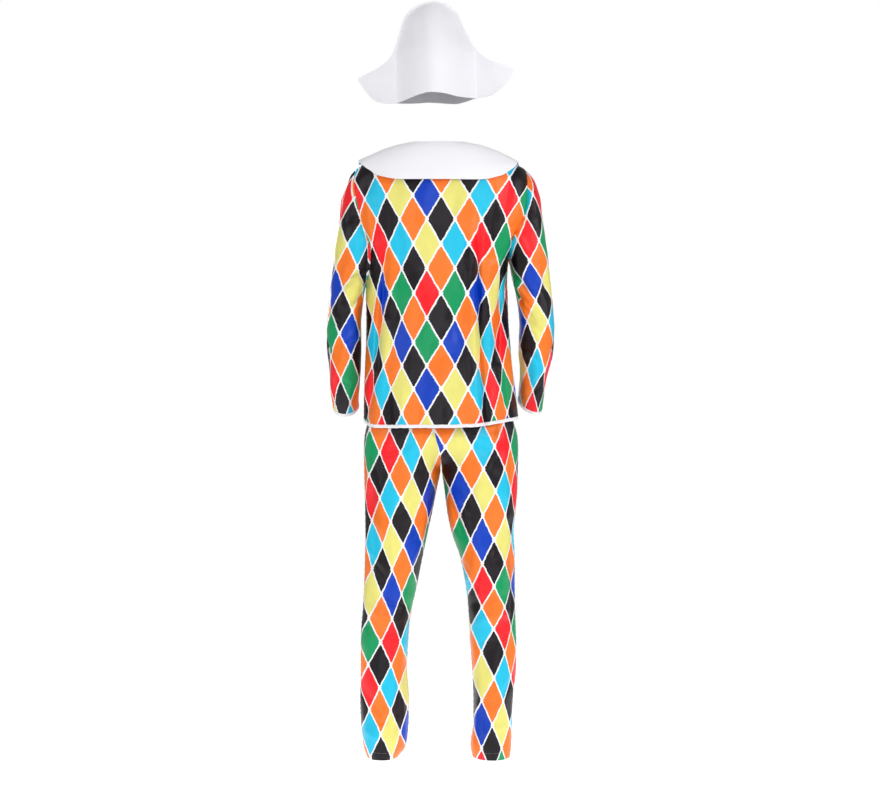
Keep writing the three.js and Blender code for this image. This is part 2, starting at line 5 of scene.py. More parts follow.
import bpy
import numpy as np
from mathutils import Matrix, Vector


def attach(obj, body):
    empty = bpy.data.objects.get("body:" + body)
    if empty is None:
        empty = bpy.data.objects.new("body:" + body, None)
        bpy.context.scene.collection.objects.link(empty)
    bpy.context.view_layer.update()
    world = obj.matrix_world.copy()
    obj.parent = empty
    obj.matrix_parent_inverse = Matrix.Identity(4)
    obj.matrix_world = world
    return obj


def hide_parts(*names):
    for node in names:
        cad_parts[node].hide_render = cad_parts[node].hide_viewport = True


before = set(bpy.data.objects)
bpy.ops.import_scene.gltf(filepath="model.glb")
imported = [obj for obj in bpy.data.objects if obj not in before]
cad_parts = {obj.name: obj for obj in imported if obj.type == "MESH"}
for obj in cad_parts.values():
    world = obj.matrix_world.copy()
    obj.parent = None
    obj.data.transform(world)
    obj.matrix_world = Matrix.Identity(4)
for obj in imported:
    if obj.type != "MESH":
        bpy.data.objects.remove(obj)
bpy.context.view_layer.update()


# The printed cloth
# A thin polyester knit with a soft sheen, printed with upright diamonds between white lines. Every other
# row of diamonds is black and orange in turn. The rows between run through five bright colours, mirrored
# about the middle column, and each row starts one colour further on.

MM = 0.001
DIAMOND_WIDTH = 0.0686
DIAMOND_HEIGHT = 0.1185
LINE_HALF_WIDTH = 0.0020
CROSSING_HALF_WIDTH = 0.0056
CROSSING_SQUATNESS = 0.72
# How the lines wander off straight: the scale of each pattern, and how far it moves them
WANDER = ((70.0, 0.0034), (420.0, 0.0026))
HALF_BACK = (-0.5, -0.5, -0.5)
FIRST_COLOUR = 3.0
BLOTS = 0.16
BLOT_DARKEST = 0.92
REVERSE_FADE = 0.55
REVERSE_COLOUR = (0.80, 0.79, 0.80, 1)
COURSE_SHARE = 0.5
CRUMPLE_STRETCH = (1.5, 0.62, 1.0)
INK = {
    "orange": (0.94, 0.19, 0.018, 1),
    "black": (0.007, 0.004, 0.007, 1),
    "green": (0.001, 0.31, 0.105, 1),
    "red": (0.93, 0.010, 0.018, 1),
    "cyan": (0.010, 0.53, 0.78, 1),
    "yellow": (0.80, 0.745, 0.19, 1),
    "blue": (0.001, 0.048, 0.50, 1),
    "white": (0.90, 0.90, 0.92, 1),
}
BRIGHT = ["green", "red", "cyan", "yellow", "blue"]


class Nodes:
    """Adds shader nodes to one tree, a line for each."""

    def __init__(self, tree):
        self.tree = tree

    def add(self, kind, inputs=None, **settings):
        node = self.tree.nodes.new(kind)
        for name, value in settings.items():
            setattr(node, name, value)
        for name, value in (inputs or {}).items():
            socket = node.inputs[name]
            if isinstance(value, bpy.types.NodeSocket):
                self.tree.links.new(value, socket)
            else:
                socket.default_value = value
        return node

    def math(self, operation, first, second=0.0, third=0.0):
        node = self.add("ShaderNodeMath", {0: first, 1: second, 2: third}, operation=operation)
        return node.outputs[0]

    def mix(self, factor, first, second):
        node = self.add("ShaderNodeMix", data_type="RGBA")
        for index, value in ((0, factor), (6, first), (7, second)):
            if isinstance(value, bpy.types.NodeSocket):
                self.tree.links.new(value, node.inputs[index])
            else:
                node.inputs[index].default_value = value
        return node.outputs[2]

    def steps(self, value, colours):
        """The colour numbered by value, which runs from 0 to 1 over the list."""
        node = self.add("ShaderNodeValToRGB", {0: value})
        ramp = node.color_ramp
        ramp.interpolation = "CONSTANT"
        while len(ramp.elements) < len(colours):
            ramp.elements.new(1.0)
        for index, colour in enumerate(colours):
            ramp.elements[index].position = index / len(colours)
            ramp.elements[index].color = colour
        return node.outputs[0]


def new_material(name):
    material = bpy.data.materials.new(name)
    material.use_nodes = True
    shader = material.node_tree.nodes["Principled BSDF"]
    return material, Nodes(material.node_tree), shader


def print_cloth(name, row_starts):
    """row_starts says how many colours further on each of the four bright rows begins."""
    material, n, shader = new_material(name)
    cloth = n.add("ShaderNodeUVMap", uv_map="cloth").outputs[0]
    at = cloth
    for scale, reach in WANDER:
        noise = n.add("ShaderNodeTexNoise", {"Vector": cloth, "Scale": scale, "Detail": 1.0})
        off = n.add("ShaderNodeVectorMath", {0: noise.outputs["Color"], 1: HALF_BACK}, operation="ADD")
        off = n.add("ShaderNodeVectorMath", {0: off.outputs[0], "Scale": reach}, operation="SCALE")
        at = n.add("ShaderNodeVectorMath", {0: at, 1: off.outputs[0]}, operation="ADD").outputs[0]
    split = n.add("ShaderNodeSeparateXYZ", {0: at})
    across = n.math("DIVIDE", split.outputs[0], DIAMOND_WIDTH)
    up = n.math("DIVIDE", split.outputs[1], DIAMOND_HEIGHT)
    # The two sets of slanting lines: whole numbers of rise and fall lie on the lines
    rise = n.math("ADD", across, up)
    fall = n.math("SUBTRACT", across, up)
    rise_cell = n.math("FLOOR", rise)
    fall_cell = n.math("FLOOR", fall)
    rise_off = n.math("SUBTRACT", rise, n.math("ROUND", rise))
    fall_off = n.math("SUBTRACT", fall, n.math("ROUND", fall))
    line_spacing = ((1 / DIAMOND_WIDTH) ** 2 + (1 / DIAMOND_HEIGHT) ** 2) ** 0.5
    nearest = n.math("MINIMUM", n.math("ABSOLUTE", rise_off), n.math("ABSOLUTE", fall_off))
    from_line = n.math("DIVIDE", nearest, line_spacing)
    # The distance from the crossing of two lines, where the white spreads to a small ragged patch
    side = n.math("MULTIPLY", n.math("ADD", rise_off, fall_off), DIAMOND_WIDTH / 2)
    height = n.math("MULTIPLY", n.math("SUBTRACT", rise_off, fall_off), DIAMOND_HEIGHT / 2)
    upward = n.math("MULTIPLY", n.math("ABSOLUTE", height), CROSSING_SQUATNESS)
    from_crossing = n.math("ADD", n.math("ABSOLUTE", side), upward)
    on_line = n.math("LESS_THAN", from_line, LINE_HALF_WIDTH)
    on_crossing = n.math("LESS_THAN", from_crossing, CROSSING_HALF_WIDTH)
    white = n.math("MAXIMUM", on_line, on_crossing)
    # Which diamond: its row, its column, and so its colour
    row = n.math("SUBTRACT", rise_cell, fall_cell)
    bright_row = n.math("FLOORED_MODULO", row, 2.0)
    black = n.math("FLOORED_MODULO", rise_cell, 2.0)
    column = n.math("DIVIDE", n.math("ADD", n.math("ADD", rise_cell, fall_cell), 1.0), 2.0)
    turn = n.math("DIVIDE", n.math("SUBTRACT", row, 1.0), 2.0)
    turn = n.math("FLOORED_MODULO", turn, float(len(row_starts)))
    start = 0.0
    for index, first in enumerate(row_starts):
        here = n.math("COMPARE", turn, float(index), 0.1)
        start = n.math("MULTIPLY_ADD", here, float(first), start)
    colours = float(len(BRIGHT))
    outward = n.math("FLOORED_MODULO", n.math("ABSOLUTE", column), colours)
    colour = n.math("SUBTRACT", n.math("ADD", start, FIRST_COLOUR), outward)
    colour = n.math("FLOORED_MODULO", colour, colours)
    bright = n.steps(n.math("DIVIDE", n.math("ADD", colour, 0.5), colours), [INK[ink] for ink in BRIGHT])
    dark = n.mix(black, INK["orange"], INK["black"])
    ink = n.mix(bright_row, dark, bright)
    ink = n.mix(white, ink, INK["white"])
    # The ink lies a little unevenly, and the back of the cloth shows it faded
    blot = n.add("ShaderNodeTexNoise", {"Vector": cloth, "Scale": 26.0, "Detail": 3.0}).outputs[0]
    value = n.math("MULTIPLY_ADD", blot, BLOTS, BLOT_DARKEST)
    worn = n.add("ShaderNodeHueSaturation", {"Color": ink, "Value": value})
    reverse = n.add("ShaderNodeAttribute", attribute_name="reverse").outputs["Fac"]
    faded = n.mix(REVERSE_FADE, worn.outputs[0], REVERSE_COLOUR)
    base = n.mix(reverse, worn.outputs[0], faded)
    n.tree.links.new(base, shader.inputs["Base Color"])
    # Fine upright ribs of the knit
    ribs = n.add("ShaderNodeTexWave", {"Vector": cloth, "Scale": 260.0, "Distortion": 1.2, "Detail": 1.0},
                 bands_direction="X").outputs["Fac"]
    courses = n.add("ShaderNodeTexWave", {"Vector": cloth, "Scale": 300.0, "Distortion": 2.0, "Detail": 1.0},
                    bands_direction="Y").outputs["Fac"]
    knit = n.math("MULTIPLY_ADD", courses, COURSE_SHARE, ribs)
    # The light cloth is slightly crumpled all over, mostly up and down the hang
    hang = n.add("ShaderNodeVectorMath", {0: cloth, 1: CRUMPLE_STRETCH}, operation="MULTIPLY").outputs[0]
    crumple = n.add("ShaderNodeTexNoise", {"Vector": hang, "Scale": 10.0, "Detail": 0.6, "Distortion": 0.7})
    crumpled = n.add("ShaderNodeBump", {"Height": crumple.outputs[0], "Strength": 0.7, "Distance": 0.026})
    bump = n.add("ShaderNodeBump", {"Height": knit, "Strength": 0.22, "Distance": 0.0004,
                                    "Normal": crumpled.outputs[0]})
    n.tree.links.new(bump.outputs[0], shader.inputs["Normal"])
    shader.inputs["Roughness"].default_value = 0.32
    shader.inputs["Specular IOR Level"].default_value = 0.28
    return material


PRINT = print_cloth("harlequin_print", [0, 1, 2, 3])
PRINT_RIGHT_LEG = print_cloth("harlequin_print_right_leg", [0, 1, 2, 4])


# The trousers
# Two legs, each of a back and a front piece sewn down the outside and the inside of the leg. The two halves
# meet in the seat seam. An elastic in a turned casing holds them at the waist, under the top.

WORN_AT = 1600
CLOTH = 0.0013
# How square the sections across each part are: 1 is an oval, and less is squarer
SQUARE_TORSO = 0.9
SQUARE_HIP = 0.84
SQUARE_LEG = 0.95


def rows(columns, values):
    table = np.array(values, dtype=float)
    return {name: table[:, index] for index, name in enumerate(columns.split())}


def follow(table, key, column, at):
    """A smooth curve through one column of a table, read at each of the values."""
    x, y = table[key], table[column]
    step = np.diff(y) / np.diff(x)
    slope = np.empty_like(y)
    slope[0], slope[-1] = step[0], step[-1]
    same = step[:-1] * step[1:] > 0
    total = np.where(same, step[:-1] + step[1:], 1.0)
    slope[1:-1] = np.where(same, 2 * step[:-1] * step[1:] / total, 0.0)
    at = np.clip(at, x[0], x[-1])
    i = np.clip(np.searchsorted(x, at, side="right") - 1, 0, len(x) - 2)
    width = x[i + 1] - x[i]
    t = (at - x[i]) / width
    u = 1 - t
    ends = y[i] * u * u * (1 + 2 * t) + y[i + 1] * t * t * (3 - 2 * t)
    return ends + width * (slope[i] * t * u * u - slope[i + 1] * t * t * u)


def smooth(value):
    t = np.clip(value, 0, 1)
    return t * t * (3 - 2 * t)


def power(value, exponent):
    return np.sign(value) * np.abs(value) ** exponent


def place(x, y, height):
    return np.stack(np.broadcast_arrays(x, y, height - WORN_AT), axis=-1) * MM


# A fold has its full depth from one part in FOLD_STARTS of its run on. The print steps on across it within a
# few times FOLD_TURN, and lies even again half of FOLD_PRINT_REACH to each side of it
FOLD_STARTS = 2.6
FOLD_TURN = 1.8
FOLD_PRINT_REACH = 62
CREASE_END_FADE = 0.75
CREASE_RUN_OUT = 1.3


def folds(table, x, height):
    """The soft upright folds, one by one: how far x is from each, and how strong it is at this height."""
    for top_x, foot_x, top, foot, half, depth, runs_out, bend, hides in zip(*table.values()):
        along = (top - height) / (top - foot)
        strength = smooth(along * FOLD_STARTS)
        if not runs_out:
            strength = strength * smooth((1 - along) * FOLD_STARTS)
        away = x - top_x - (foot_x - top_x) * np.clip(along, 0, 1) ** bend
        yield away, strength, half, depth, hides


def folds_out(table, x, height):
    """How far the folds stand out, in millimetres."""
    out = np.zeros(np.broadcast(x, height).shape)
    for away, strength, half, depth, _ in folds(table, x, height):
        out = out + depth * strength * np.exp(-((away / half) ** 2))
    return out


def cloth_hidden(table, x, height):
    """How far the print steps on across each fold, in metres. It is even again a little way off."""
    ahead = np.zeros(np.broadcast(x, height).shape)
    for away, strength, _, _, hides in folds(table, x, height):
        step = 0.5 * np.tanh(away / FOLD_TURN) - np.clip(away / FOLD_PRINT_REACH, -0.5, 0.5)
        ahead = ahead + hides * strength * step
    return ahead * MM


def creases_out(table, a, b):
    """How far short creases stand out. Each runs from one point of the piece to another, and may be bowed."""
    out = np.zeros(np.broadcast(a, b).shape)
    for a0, b0, a1, b1, half, depth, bow in zip(*table.values()):
        length = np.hypot(a1 - a0, b1 - b0)
        along = ((a - a0) * (a1 - a0) + (b - b0) * (b1 - b0)) / length**2
        beside = ((a - a0) * (b1 - b0) - (b - b0) * (a1 - a0)) / length
        t = np.clip(along, 0, 1)
        beside = beside - bow * 4 * t * (1 - t)
        past = (along - t) * length
        fade = 1 - (2 * t - 1) ** 4 * CREASE_END_FADE
        out = out + depth * fade * np.exp(-((beside / half) ** 2) - (past / (CREASE_RUN_OUT * half)) ** 2)
    return out


RIPPLES = rows("across up phase size", [
    [61, 17, 0.3, 0.5], [43, -29, 1.7, 0.6], [-27, 37, 4.1, 0.7], [88, 51, 2.2, 0.3], [19, 13, 5.0, 1.0],
    [112, -23, 0.9, 0.25], [-71, 66, 3.3, 0.3], [33, 8, 2.9, 0.9], [150, 45, 0.8, 0.3], [-120, 95, 3.9, 0.3],
    [64, -140, 2.4, 0.25],
])
RIPPLE_HEIGHT = 2.4


def ripple(u, v, seed=0.0):
    """The slight unevenness of hanging cloth, from -1 to 1 or so, at a place on the cloth in metres."""
    total = 0.0
    for across, up, phase, size in zip(*RIPPLES.values()):
        total = total + size * np.sin(across * u + up * v + phase + seed * (1 + size))
    return total / RIPPLE_HEIGHT


def facings(points, closed, inside):
    """Which way the cloth faces at each point, and whether the grid's own order already faces outwards."""
    if closed:
        across = np.roll(points, -1, axis=1) - np.roll(points, 1, axis=1)
    else:
        across = np.gradient(points, axis=1)
    normals = np.cross(across, np.gradient(points, axis=0))
    normals /= np.maximum(np.linalg.norm(normals, axis=-1, keepdims=True), 1e-12)
    i, j = points.shape[0] // 2, points.shape[1] // 2
    sense = np.sign(np.dot(points[i, j] - inside, normals[i, j]))
    return normals * sense, sense


def shell(name, points, uv, thickness, material, inside, closed=False, seam=None):
    """A wall of cloth from a grid of outer points: the outside, the inside and a strip on each free edge."""
    normals, sense = facings(points, closed, inside)
    if seam is not None:
        seam(normals)
    height, width = points.shape[:2]
    count = height * width
    vertices = np.concatenate([points.reshape(-1, 3), (points - normals * thickness).reshape(-1, 3)])
    number = np.arange(count).reshape(height, width)
    if closed:
        number = np.concatenate([number, number[:, :1]], axis=1)
    a, b, c, d = number[:-1, :-1], number[:-1, 1:], number[1:, 1:], number[1:, :-1]
    quads = [np.stack([a, b, c, d], axis=-1).reshape(-1, 4)]
    quads.append(np.stack([a, d, c, b], axis=-1).reshape(-1, 4) + count)
    low, high = number[0], number[-1]
    quads.append(np.stack([low[:-1], low[:-1] + count, low[1:] + count, low[1:]], axis=-1))
    quads.append(np.stack([high[:-1], high[1:], high[1:] + count, high[:-1] + count], axis=-1))
    if not closed:
        left, right = number[:, 0], number[:, -1]
        quads.append(np.stack([left[:-1], left[1:], left[1:] + count, left[:-1] + count], axis=-1))
        quads.append(np.stack([right[:-1], right[:-1] + count, right[1:] + count, right[1:]], axis=-1))
    quads = np.concatenate(quads)
    if sense < 0:
        quads = quads[:, ::-1]
    reverse = np.repeat([0.0, 1.0], count)
    places = np.concatenate([uv.reshape(-1, 2)] * 2)
    return mesh_object(name, vertices, quads, places, reverse, material)


SHARP_ANGLE = 50


def mesh_object(name, vertices, faces, places, reverse, material):
    """A mesh with its places on the cloth, and with its reverse marked where it has one."""
    mesh = bpy.data.meshes.new(name)
    mesh.from_pydata(vertices.tolist(), [], faces.tolist())
    corners = np.empty(len(mesh.loops), dtype=np.int32)
    mesh.loops.foreach_get("vertex_index", corners)
    layer = mesh.uv_layers.new(name="cloth")
    layer.data.foreach_set("uv", places[corners].astype(np.float32).ravel())
    if reverse is not None:
        attribute = mesh.attributes.new("reverse", "FLOAT", "POINT")
        attribute.data.foreach_set("value", reverse.astype(np.float32))
    mesh.materials.append(material)
    mesh.shade_smooth()
    mesh.set_sharp_from_angle(angle=np.radians(SHARP_ANGLE))
    mesh.update()
    piece = bpy.data.objects.new(name, mesh)
    bpy.context.scene.collection.objects.link(piece)
    return piece


def even_with_ends(count, near):
    """Even steps from 0 to 1, with closer ones beside both ends for the sewn edge."""
    return np.unique(np.concatenate([np.linspace(0, 1, count), near, 1 - np.array(near)]).round(6))


PUCKER_DEPTH = 0.0005
PUCKER_REACH = 0.010
PUCKER_TURNS = 420
PUCKER_DRIFT = 2.1
PUCKER_DRIFT_TURNS = 57


def sewn_edges(points, inside, depth, reach):
    """Draws a panel in a little along its two long edges, as a seam does, with slight puckers beside it."""
    normals, _ = facings(points, False, inside)
    step = np.linalg.norm(np.diff(points, axis=1), axis=-1)
    from_start = np.concatenate([np.zeros((len(points), 1)), np.cumsum(step, axis=1)], axis=1)
    from_end = from_start[:, -1:] - from_start
    rise = np.cumsum(np.linalg.norm(np.diff(points[:, :1], axis=0, prepend=points[:1, :1]), axis=-1), axis=0)
    pucker = PUCKER_DEPTH * np.sin(rise * PUCKER_TURNS + PUCKER_DRIFT * np.sin(rise * PUCKER_DRIFT_TURNS))
    out = 0.0
    for distance in (from_start, from_end):
        out = out - depth * np.exp(-((distance / reach) ** 2))
        out = out + pucker * np.exp(-((distance / PUCKER_REACH) ** 2))
    return points + normals * out[..., None]


TROUSERS = rows("height leftOut leftIn rightOut rightIn back front", [
    [98, 174, 96, -179, -86, 62, -58],
    [126, 183, 77, -182, -81, 66, -61],
    [180, 189, 71, -184, -88, 69, -63],
    [235, 191, 69.5, -186, -88, 71, -64],
    [314, 190, 74, -194, -84.5, 72, -66],
    [353, 190, 73, -195, -82, 72, -68],
    [415, 188, 70, -193, -78, 72, -72],
    [462, 184, 63, -191.5, -76, 73, -76],
    [522, 181, 50, -190.5, -69, 76, -80],
    [588, 179, 37, -190.5, -56, 83, -85],
    [652, 178, 23.5, -187.5, -34, 91, -92],
    [700, 178.5, 13, -192.5, -24, 98, -98],
    [760, 180, 1, -197, -16.5, 106, -104],
    [805, 181, -7.5, -198, -10.5, 113, -108],
    [850, 181.5, -8.6, -199, -8.6, 118, -110],
    [885, 180, -8.6, -197.5, -8.6, 119, -110],
    [905, 176.2, -8.6, -193, -8.6, 112.4, -104],
    [940, 168, -8.6, -182, -8.6, 107, -99],
    [1000, 160, -8.6, -173, -8.6, 101, -95],
    [1040, 150, -8.6, -164, -8.6, 94, -90],
])
CROTCH_HEIGHT = 812
CROTCH_RISE = 78
HIP_REACH = 120
MIDDLE_X = -8.6
LEG_MIDDLE_Y = 3
LEG_FOOT = 98
LEG_TOP = 1040
LEG_MIDDLE_X = 100
KNEE_HEIGHT = 560
LEG_GRID = (64, 230)
LEG_NEAR_SEAM = [0.004, 0.010, 0.02]
# Where the cloth starts to turn to the side, how much of it counts towards the print's width, and how far it
# has turned where all of it counts
EDGE_PRINT_SHARE = 0.55
EDGE_TURNED = 0.4

LEG_FOLDS = {
    "back": rows("topX footX top foot half out runsOut bend hides", [
        [177, 171, 960, 600, 5.5, -6, 0, 1, 14],
        [15, 42, 830, 520, 5.5, -6, 0, 1.2, 10],
        [163, 150, 800, 560, 11, -6, 0, 1, 0],
        [20, 112, 822, 690, 10, -6, 0, 1, 0],
        [120, 112, 560, 330, 15, -6, 0, 1, 0],
        [-38, -122, 818, 680, 10, -6, 0, 1, 0],
        [-186, -178, 880, 340, 6, -6, 0, 1, 8],
        [-110, -122, 520, 260, 15, -6, 0, 1, 0],
        [-152, -130, 720, 560, 12, -5, 0, 1, 0],
    ]),
    "front": rows("topX footX top foot half out runsOut bend hides", [
        [24, 120, 818, 690, 10, -6, 0, 1, 0],
        [-40, -130, 818, 690, 10, -6, 0, 1, 0],
        [126, 116, 600, 330, 15, -6, 0, 1, 0],
        [-124, -130, 600, 330, 15, -6, 0, 1, 0],
        [172, 168, 940, 600, 6, -6, 0, 1, 8],
        [-180, -176, 930, 560, 6, -6, 0, 1, 8],
    ]),
}
# Creases of the legs: from x and height to x and height, half width, how far out, and bow
LEG_CREASES = {
    "back": rows("a0 b0 a1 b1 half out bow", [
        [10, 790, 70, 690, 9, 3.5, 6], [4, 800, 60, 640, 8, -4, 10], [30, 640, 90, 560, 10, 3, 4],
        [160, 700, 120, 620, 10, 3, 4], [175, 600, 130, 540, 8, -3, 4], [70, 470, 150, 505, 9, -3.5, 6],
        [85, 440, 170, 470, 10, 3, 6], [80, 395, 150, 410, 8, -3, 5], [180, 430, 120, 380, 8, -2.5, 4],
        [100, 210, 160, 190, 8, -2.5, 5], [120, 150, 180, 170, 8, 2.5, 4],
        [175, 260, 140, 200, 9, -2.5, 3], [-20, 790, -80, 680, 9, 3.5, -6],
        [-18, 800, -70, 640, 8, -4, -8], [-60, 600, -110, 520, 10, 3, 4],
        [-185, 690, -130, 600, 10, -3.5, 4], [-80, 470, -165, 500, 9, -3.5, 6],
        [-90, 430, -180, 455, 10, 3, 6], [-95, 380, -170, 400, 8, -3, -5],
        [-100, 240, -160, 215, 8, -2.5, 5], [-110, 160, -170, 180, 8, 2.5, 4],
        [-185, 300, -140, 240, 9, -2.5, 3], [60, 880, 140, 840, 12, -3, 5],
        [-70, 880, -150, 850, 12, -3, -5],
    ]),
    "front": rows("a0 b0 a1 b1 half out bow", [
        [10, 780, 80, 700, 9, 3.5, 6], [6, 800, 70, 740, 8, -4, 6], [170, 760, 110, 690, 10, -3, 4],
        [70, 500, 160, 520, 9, -4, -6], [75, 470, 165, 478, 9, 3, 5], [90, 440, 160, 430, 8, -3, 5],
        [95, 210, 165, 190, 8, -3, 5], [100, 160, 175, 150, 9, 3, 4], [105, 130, 170, 126, 7, -3, 4],
        [-20, 780, -90, 700, 9, 3.5, -6], [-20, 800, -80, 740, 8, -4, -6], [-185, 750, -120, 690, 10, -3, 4],
        [-80, 500, -170, 520, 9, -4, 6], [-85, 470, -180, 478, 9, 3, -5], [-100, 440, -170, 430, 8, -3, 5],
        [-105, 210, -170, 190, 8, -3, 5], [-110, 160, -175, 150, 9, 3, 4], [-105, 130, -170, 126, 7, -3, 4],
    ]),
}

# Where the print's columns and rows lie on each leg: x, and height, of their middles
LEG_COLUMNS = {
    "left": rows("height 0 1 2 3", [
        [98, 19, 68, 112, 164], [164, 19, 70, 112.4, 164.3], [277, 19, 73, 114.9, 167.7],
        [386, 19, 70.4, 110.7, 169.2], [504, 19, 65.5, 110, 164.3], [625, 22, 58, 110.7, 155.4],
        [738, 18.5, 60.5, 116, 161.8], [849, 17, 62, 116, 164.3], [905, 9, 65, 116, 164],
        [1040, 9, 65, 112, 160],
    ]),
    "right": rows("height 4 5 6 7 8", [
        [98, -8, -58, -107.4, -156, -194], [186, -8, -58, -107.4, -157.8, -194],
        [300, -8, -58, -108.9, -162.5, -194], [419, -8, -58, -105.7, -164.3, -194],
        [524, -8, -60, -110.7, -161.8, -194], [637, -8, -54.1, -107, -164, -193],
        [757, -7, -54.1, -112.4, -164, -190.2], [812, 4, -53, -111, -163, -191],
        [864, 16, -52.1, -110.7, -161.8, -191.4], [1040, 16, -52, -110, -160, -188],
    ]),
}
LEG_ROWS = {
    "left": rows("height row", [
        [80, 7.2], [163.7, 6.5], [276.8, 5.5], [386.4, 4.5], [504.2, 3.5], [624.9, 2.5], [738.4, 1.5],
        [849.4, 0.5], [1045, -1.2],
    ]),
    "right": rows("height row", [
        [80, 7.4], [185.6, 6.5], [300, 5.5], [419.2, 4.5], [523.7, 3.5], [637, 2.5], [756.9, 1.5],
        [863.9, 0.5], [1045, -1.05],
    ]),
}
SEAT_SEAM_FROM = 828
SEAT_SEAM_TO = 905
SEAT_SEAM_SHIFT = 15
FRONT_ROWS_ON = 0.37
LEG_CREASE_DEPTH = 2.2
LEG_RIPPLE = 3.6
LEG_SEAM_EASE = 2.5
LEG_RIPPLE_SEEDS = {"left": 2.0, "right": 5.0}
SEAT_POINTEDNESS = 6


def trouser_points(side, face, height, angle, wrinkled=True):
    """Outer points of a leg piece. The angle is 0 at the outside of the leg and 180 at the inside."""
    height, angle = height[:, None], np.radians(angle)[None, :]
    out_x = follow(TROUSERS, "height", side + "Out", height)
    in_x = follow(TROUSERS, "height", side + "In", height)
    depth = follow(TROUSERS, "height", face, height) - LEG_MIDDLE_Y
    start = CROTCH_HEIGHT - HIP_REACH * (1 - angle / np.pi)
    done = np.clip((height - start) / (CROTCH_HEIGHT + CROTCH_RISE - start), 0, 1)
    share = smooth(done) + (np.sqrt(1 - (1 - done) ** 2) - smooth(done)) * (angle / np.pi) ** SEAT_POINTEDNESS
    leg_x = in_x + (out_x - in_x) * (1 + power(np.cos(angle), SQUARE_LEG)) / 2
    leg_y = depth * power(np.sin(angle).clip(0, 1), SQUARE_LEG)
    pulled = SEAT_SEAM_SHIFT if face == "back" else 0
    middle_x = MIDDLE_X + pulled * smooth((height - SEAT_SEAM_FROM) / (SEAT_SEAM_TO - SEAT_SEAM_FROM))
    hip_x = middle_x + (out_x - middle_x) * power(np.cos(angle / 2).clip(0, 1), SQUARE_HIP)
    hip_y = depth * power(np.sin(angle / 2), SQUARE_HIP)
    x = leg_x + (hip_x - leg_x) * share
    away = 1 if face == "back" else -1
    relief = 0
    if wrinkled:
        relief = folds_out(LEG_FOLDS[face], x, height)
        relief = relief + LEG_CREASE_DEPTH * creases_out(LEG_CREASES[face], x, height)
        relief = relief + LEG_RIPPLE * ripple(x * MM, height * MM, LEG_RIPPLE_SEEDS[side])
    y = LEG_MIDDLE_Y + leg_y + (hip_y - leg_y) * share + away * relief * smooth(np.sin(angle) * LEG_SEAM_EASE)
    return place(x, y, height * np.ones_like(x))


def print_across(smooth_points, heights, table):
    """Which column of the print lies at each point. Where the cloth faces back or forward, the table gives
    the x of each column's middle, height by height. Where it turns to the side, the print goes on along it."""
    names = [name for name in table if name != "height"]
    column = np.array([float(name) for name in names])
    middles = np.stack([follow(table, "height", name, heights) for name in names], axis=-1)
    x = smooth_points[..., 0] / MM
    result = np.empty_like(x)
    step = np.linalg.norm(np.diff(smooth_points, axis=1), axis=-1)
    for i, line in enumerate(x):
        order = np.argsort(middles[i])
        at, value = middles[i][order], column[order]
        ends = (value[1] - value[0]) / (at[1] - at[0]), (value[-1] - value[-2]) / (at[-1] - at[-2])
        seen = follow({"x": at, "v": value}, "x", "v", line)
        seen = seen + ends[0] * np.minimum(line - at[0], 0) + ends[1] * np.maximum(line - at[-1], 0)
        grows = np.sign(seen[-1] - seen[0])
        turned = smooth(1 - np.abs(np.diff(line)) * MM / step[i] / EDGE_TURNED)
        counts = EDGE_PRINT_SHARE + (1 - EDGE_PRINT_SHARE) * turned
        rise = np.maximum(np.diff(seen) * grows, counts * step[i] / DIAMOND_WIDTH)
        total = np.concatenate([[0], np.cumsum(rise)]) * grows
        centre = np.argmin(np.abs(line - line.mean()))
        result[i] = seen[centre] + total - total[centre]
    return result


def leg_piece(side, face):
    height = np.unique(np.concatenate([np.linspace(LEG_FOOT, LEG_TOP, LEG_GRID[1]), [CROTCH_HEIGHT]]))
    share = even_with_ends(LEG_GRID[0], LEG_NEAR_SEAM)
    points = trouser_points(side, face, height, 180 * share)
    grows = 1 if side == "left" else -1
    across = print_across(trouser_points(side, face, height, 180 * share, wrinkled=False), height,
                          LEG_COLUMNS[side])
    down = follow(LEG_ROWS[side], "height", "row", height)[:, None] * np.ones_like(across)
    if face == "front":
        down = down + FRONT_ROWS_ON
    hidden = cloth_hidden(LEG_FOLDS[face], points[..., 0] / MM, height[:, None]) * grows
    uv = np.stack([across * DIAMOND_WIDTH + hidden, down * DIAMOND_HEIGHT], axis=-1)
    inside = place(grows * LEG_MIDDLE_X, 0, KNEE_HEIGHT)
    points = sewn_edges(points, inside, depth=0.0009, reach=0.0025)

    def seam(normals):
        normals[:, 0, 1] = 0
        upper = height >= CROTCH_HEIGHT
        normals[~upper, -1, 1] = 0
        normals[upper, -1, 0] = 0
        for j in (0, -1):
            normals[:, j] /= np.linalg.norm(normals[:, j], axis=-1, keepdims=True)

    material = PRINT if side == "left" else PRINT_RIGHT_LEG
    piece = shell(f"leg_{face}_{side}", points, uv, CLOTH, material, inside, seam=seam)
    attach(piece, "root")
    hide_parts(f"trousers_{face}_{side}")


for side in ("left", "right"):
    for face in ("back", "front"):
        leg_piece(side, face)


def closed_ring(rings):
    """Joins lines of points into one ring, leaving out the repeated ends."""
    return np.concatenate([line[:-1] for line in rings])


CASING_TOP = 1071
CASING_WALL = 0.0026
CASING_PROUD = 0.0006
CASING_GRID = (60, 9)
FLUTE_DEPTH = 0.0012
FLUTES = 58
FLUTE_DRIFT = 1.5
FLUTE_DRIFTS = 7
CASING_PRINT_RADIUS = 0.16


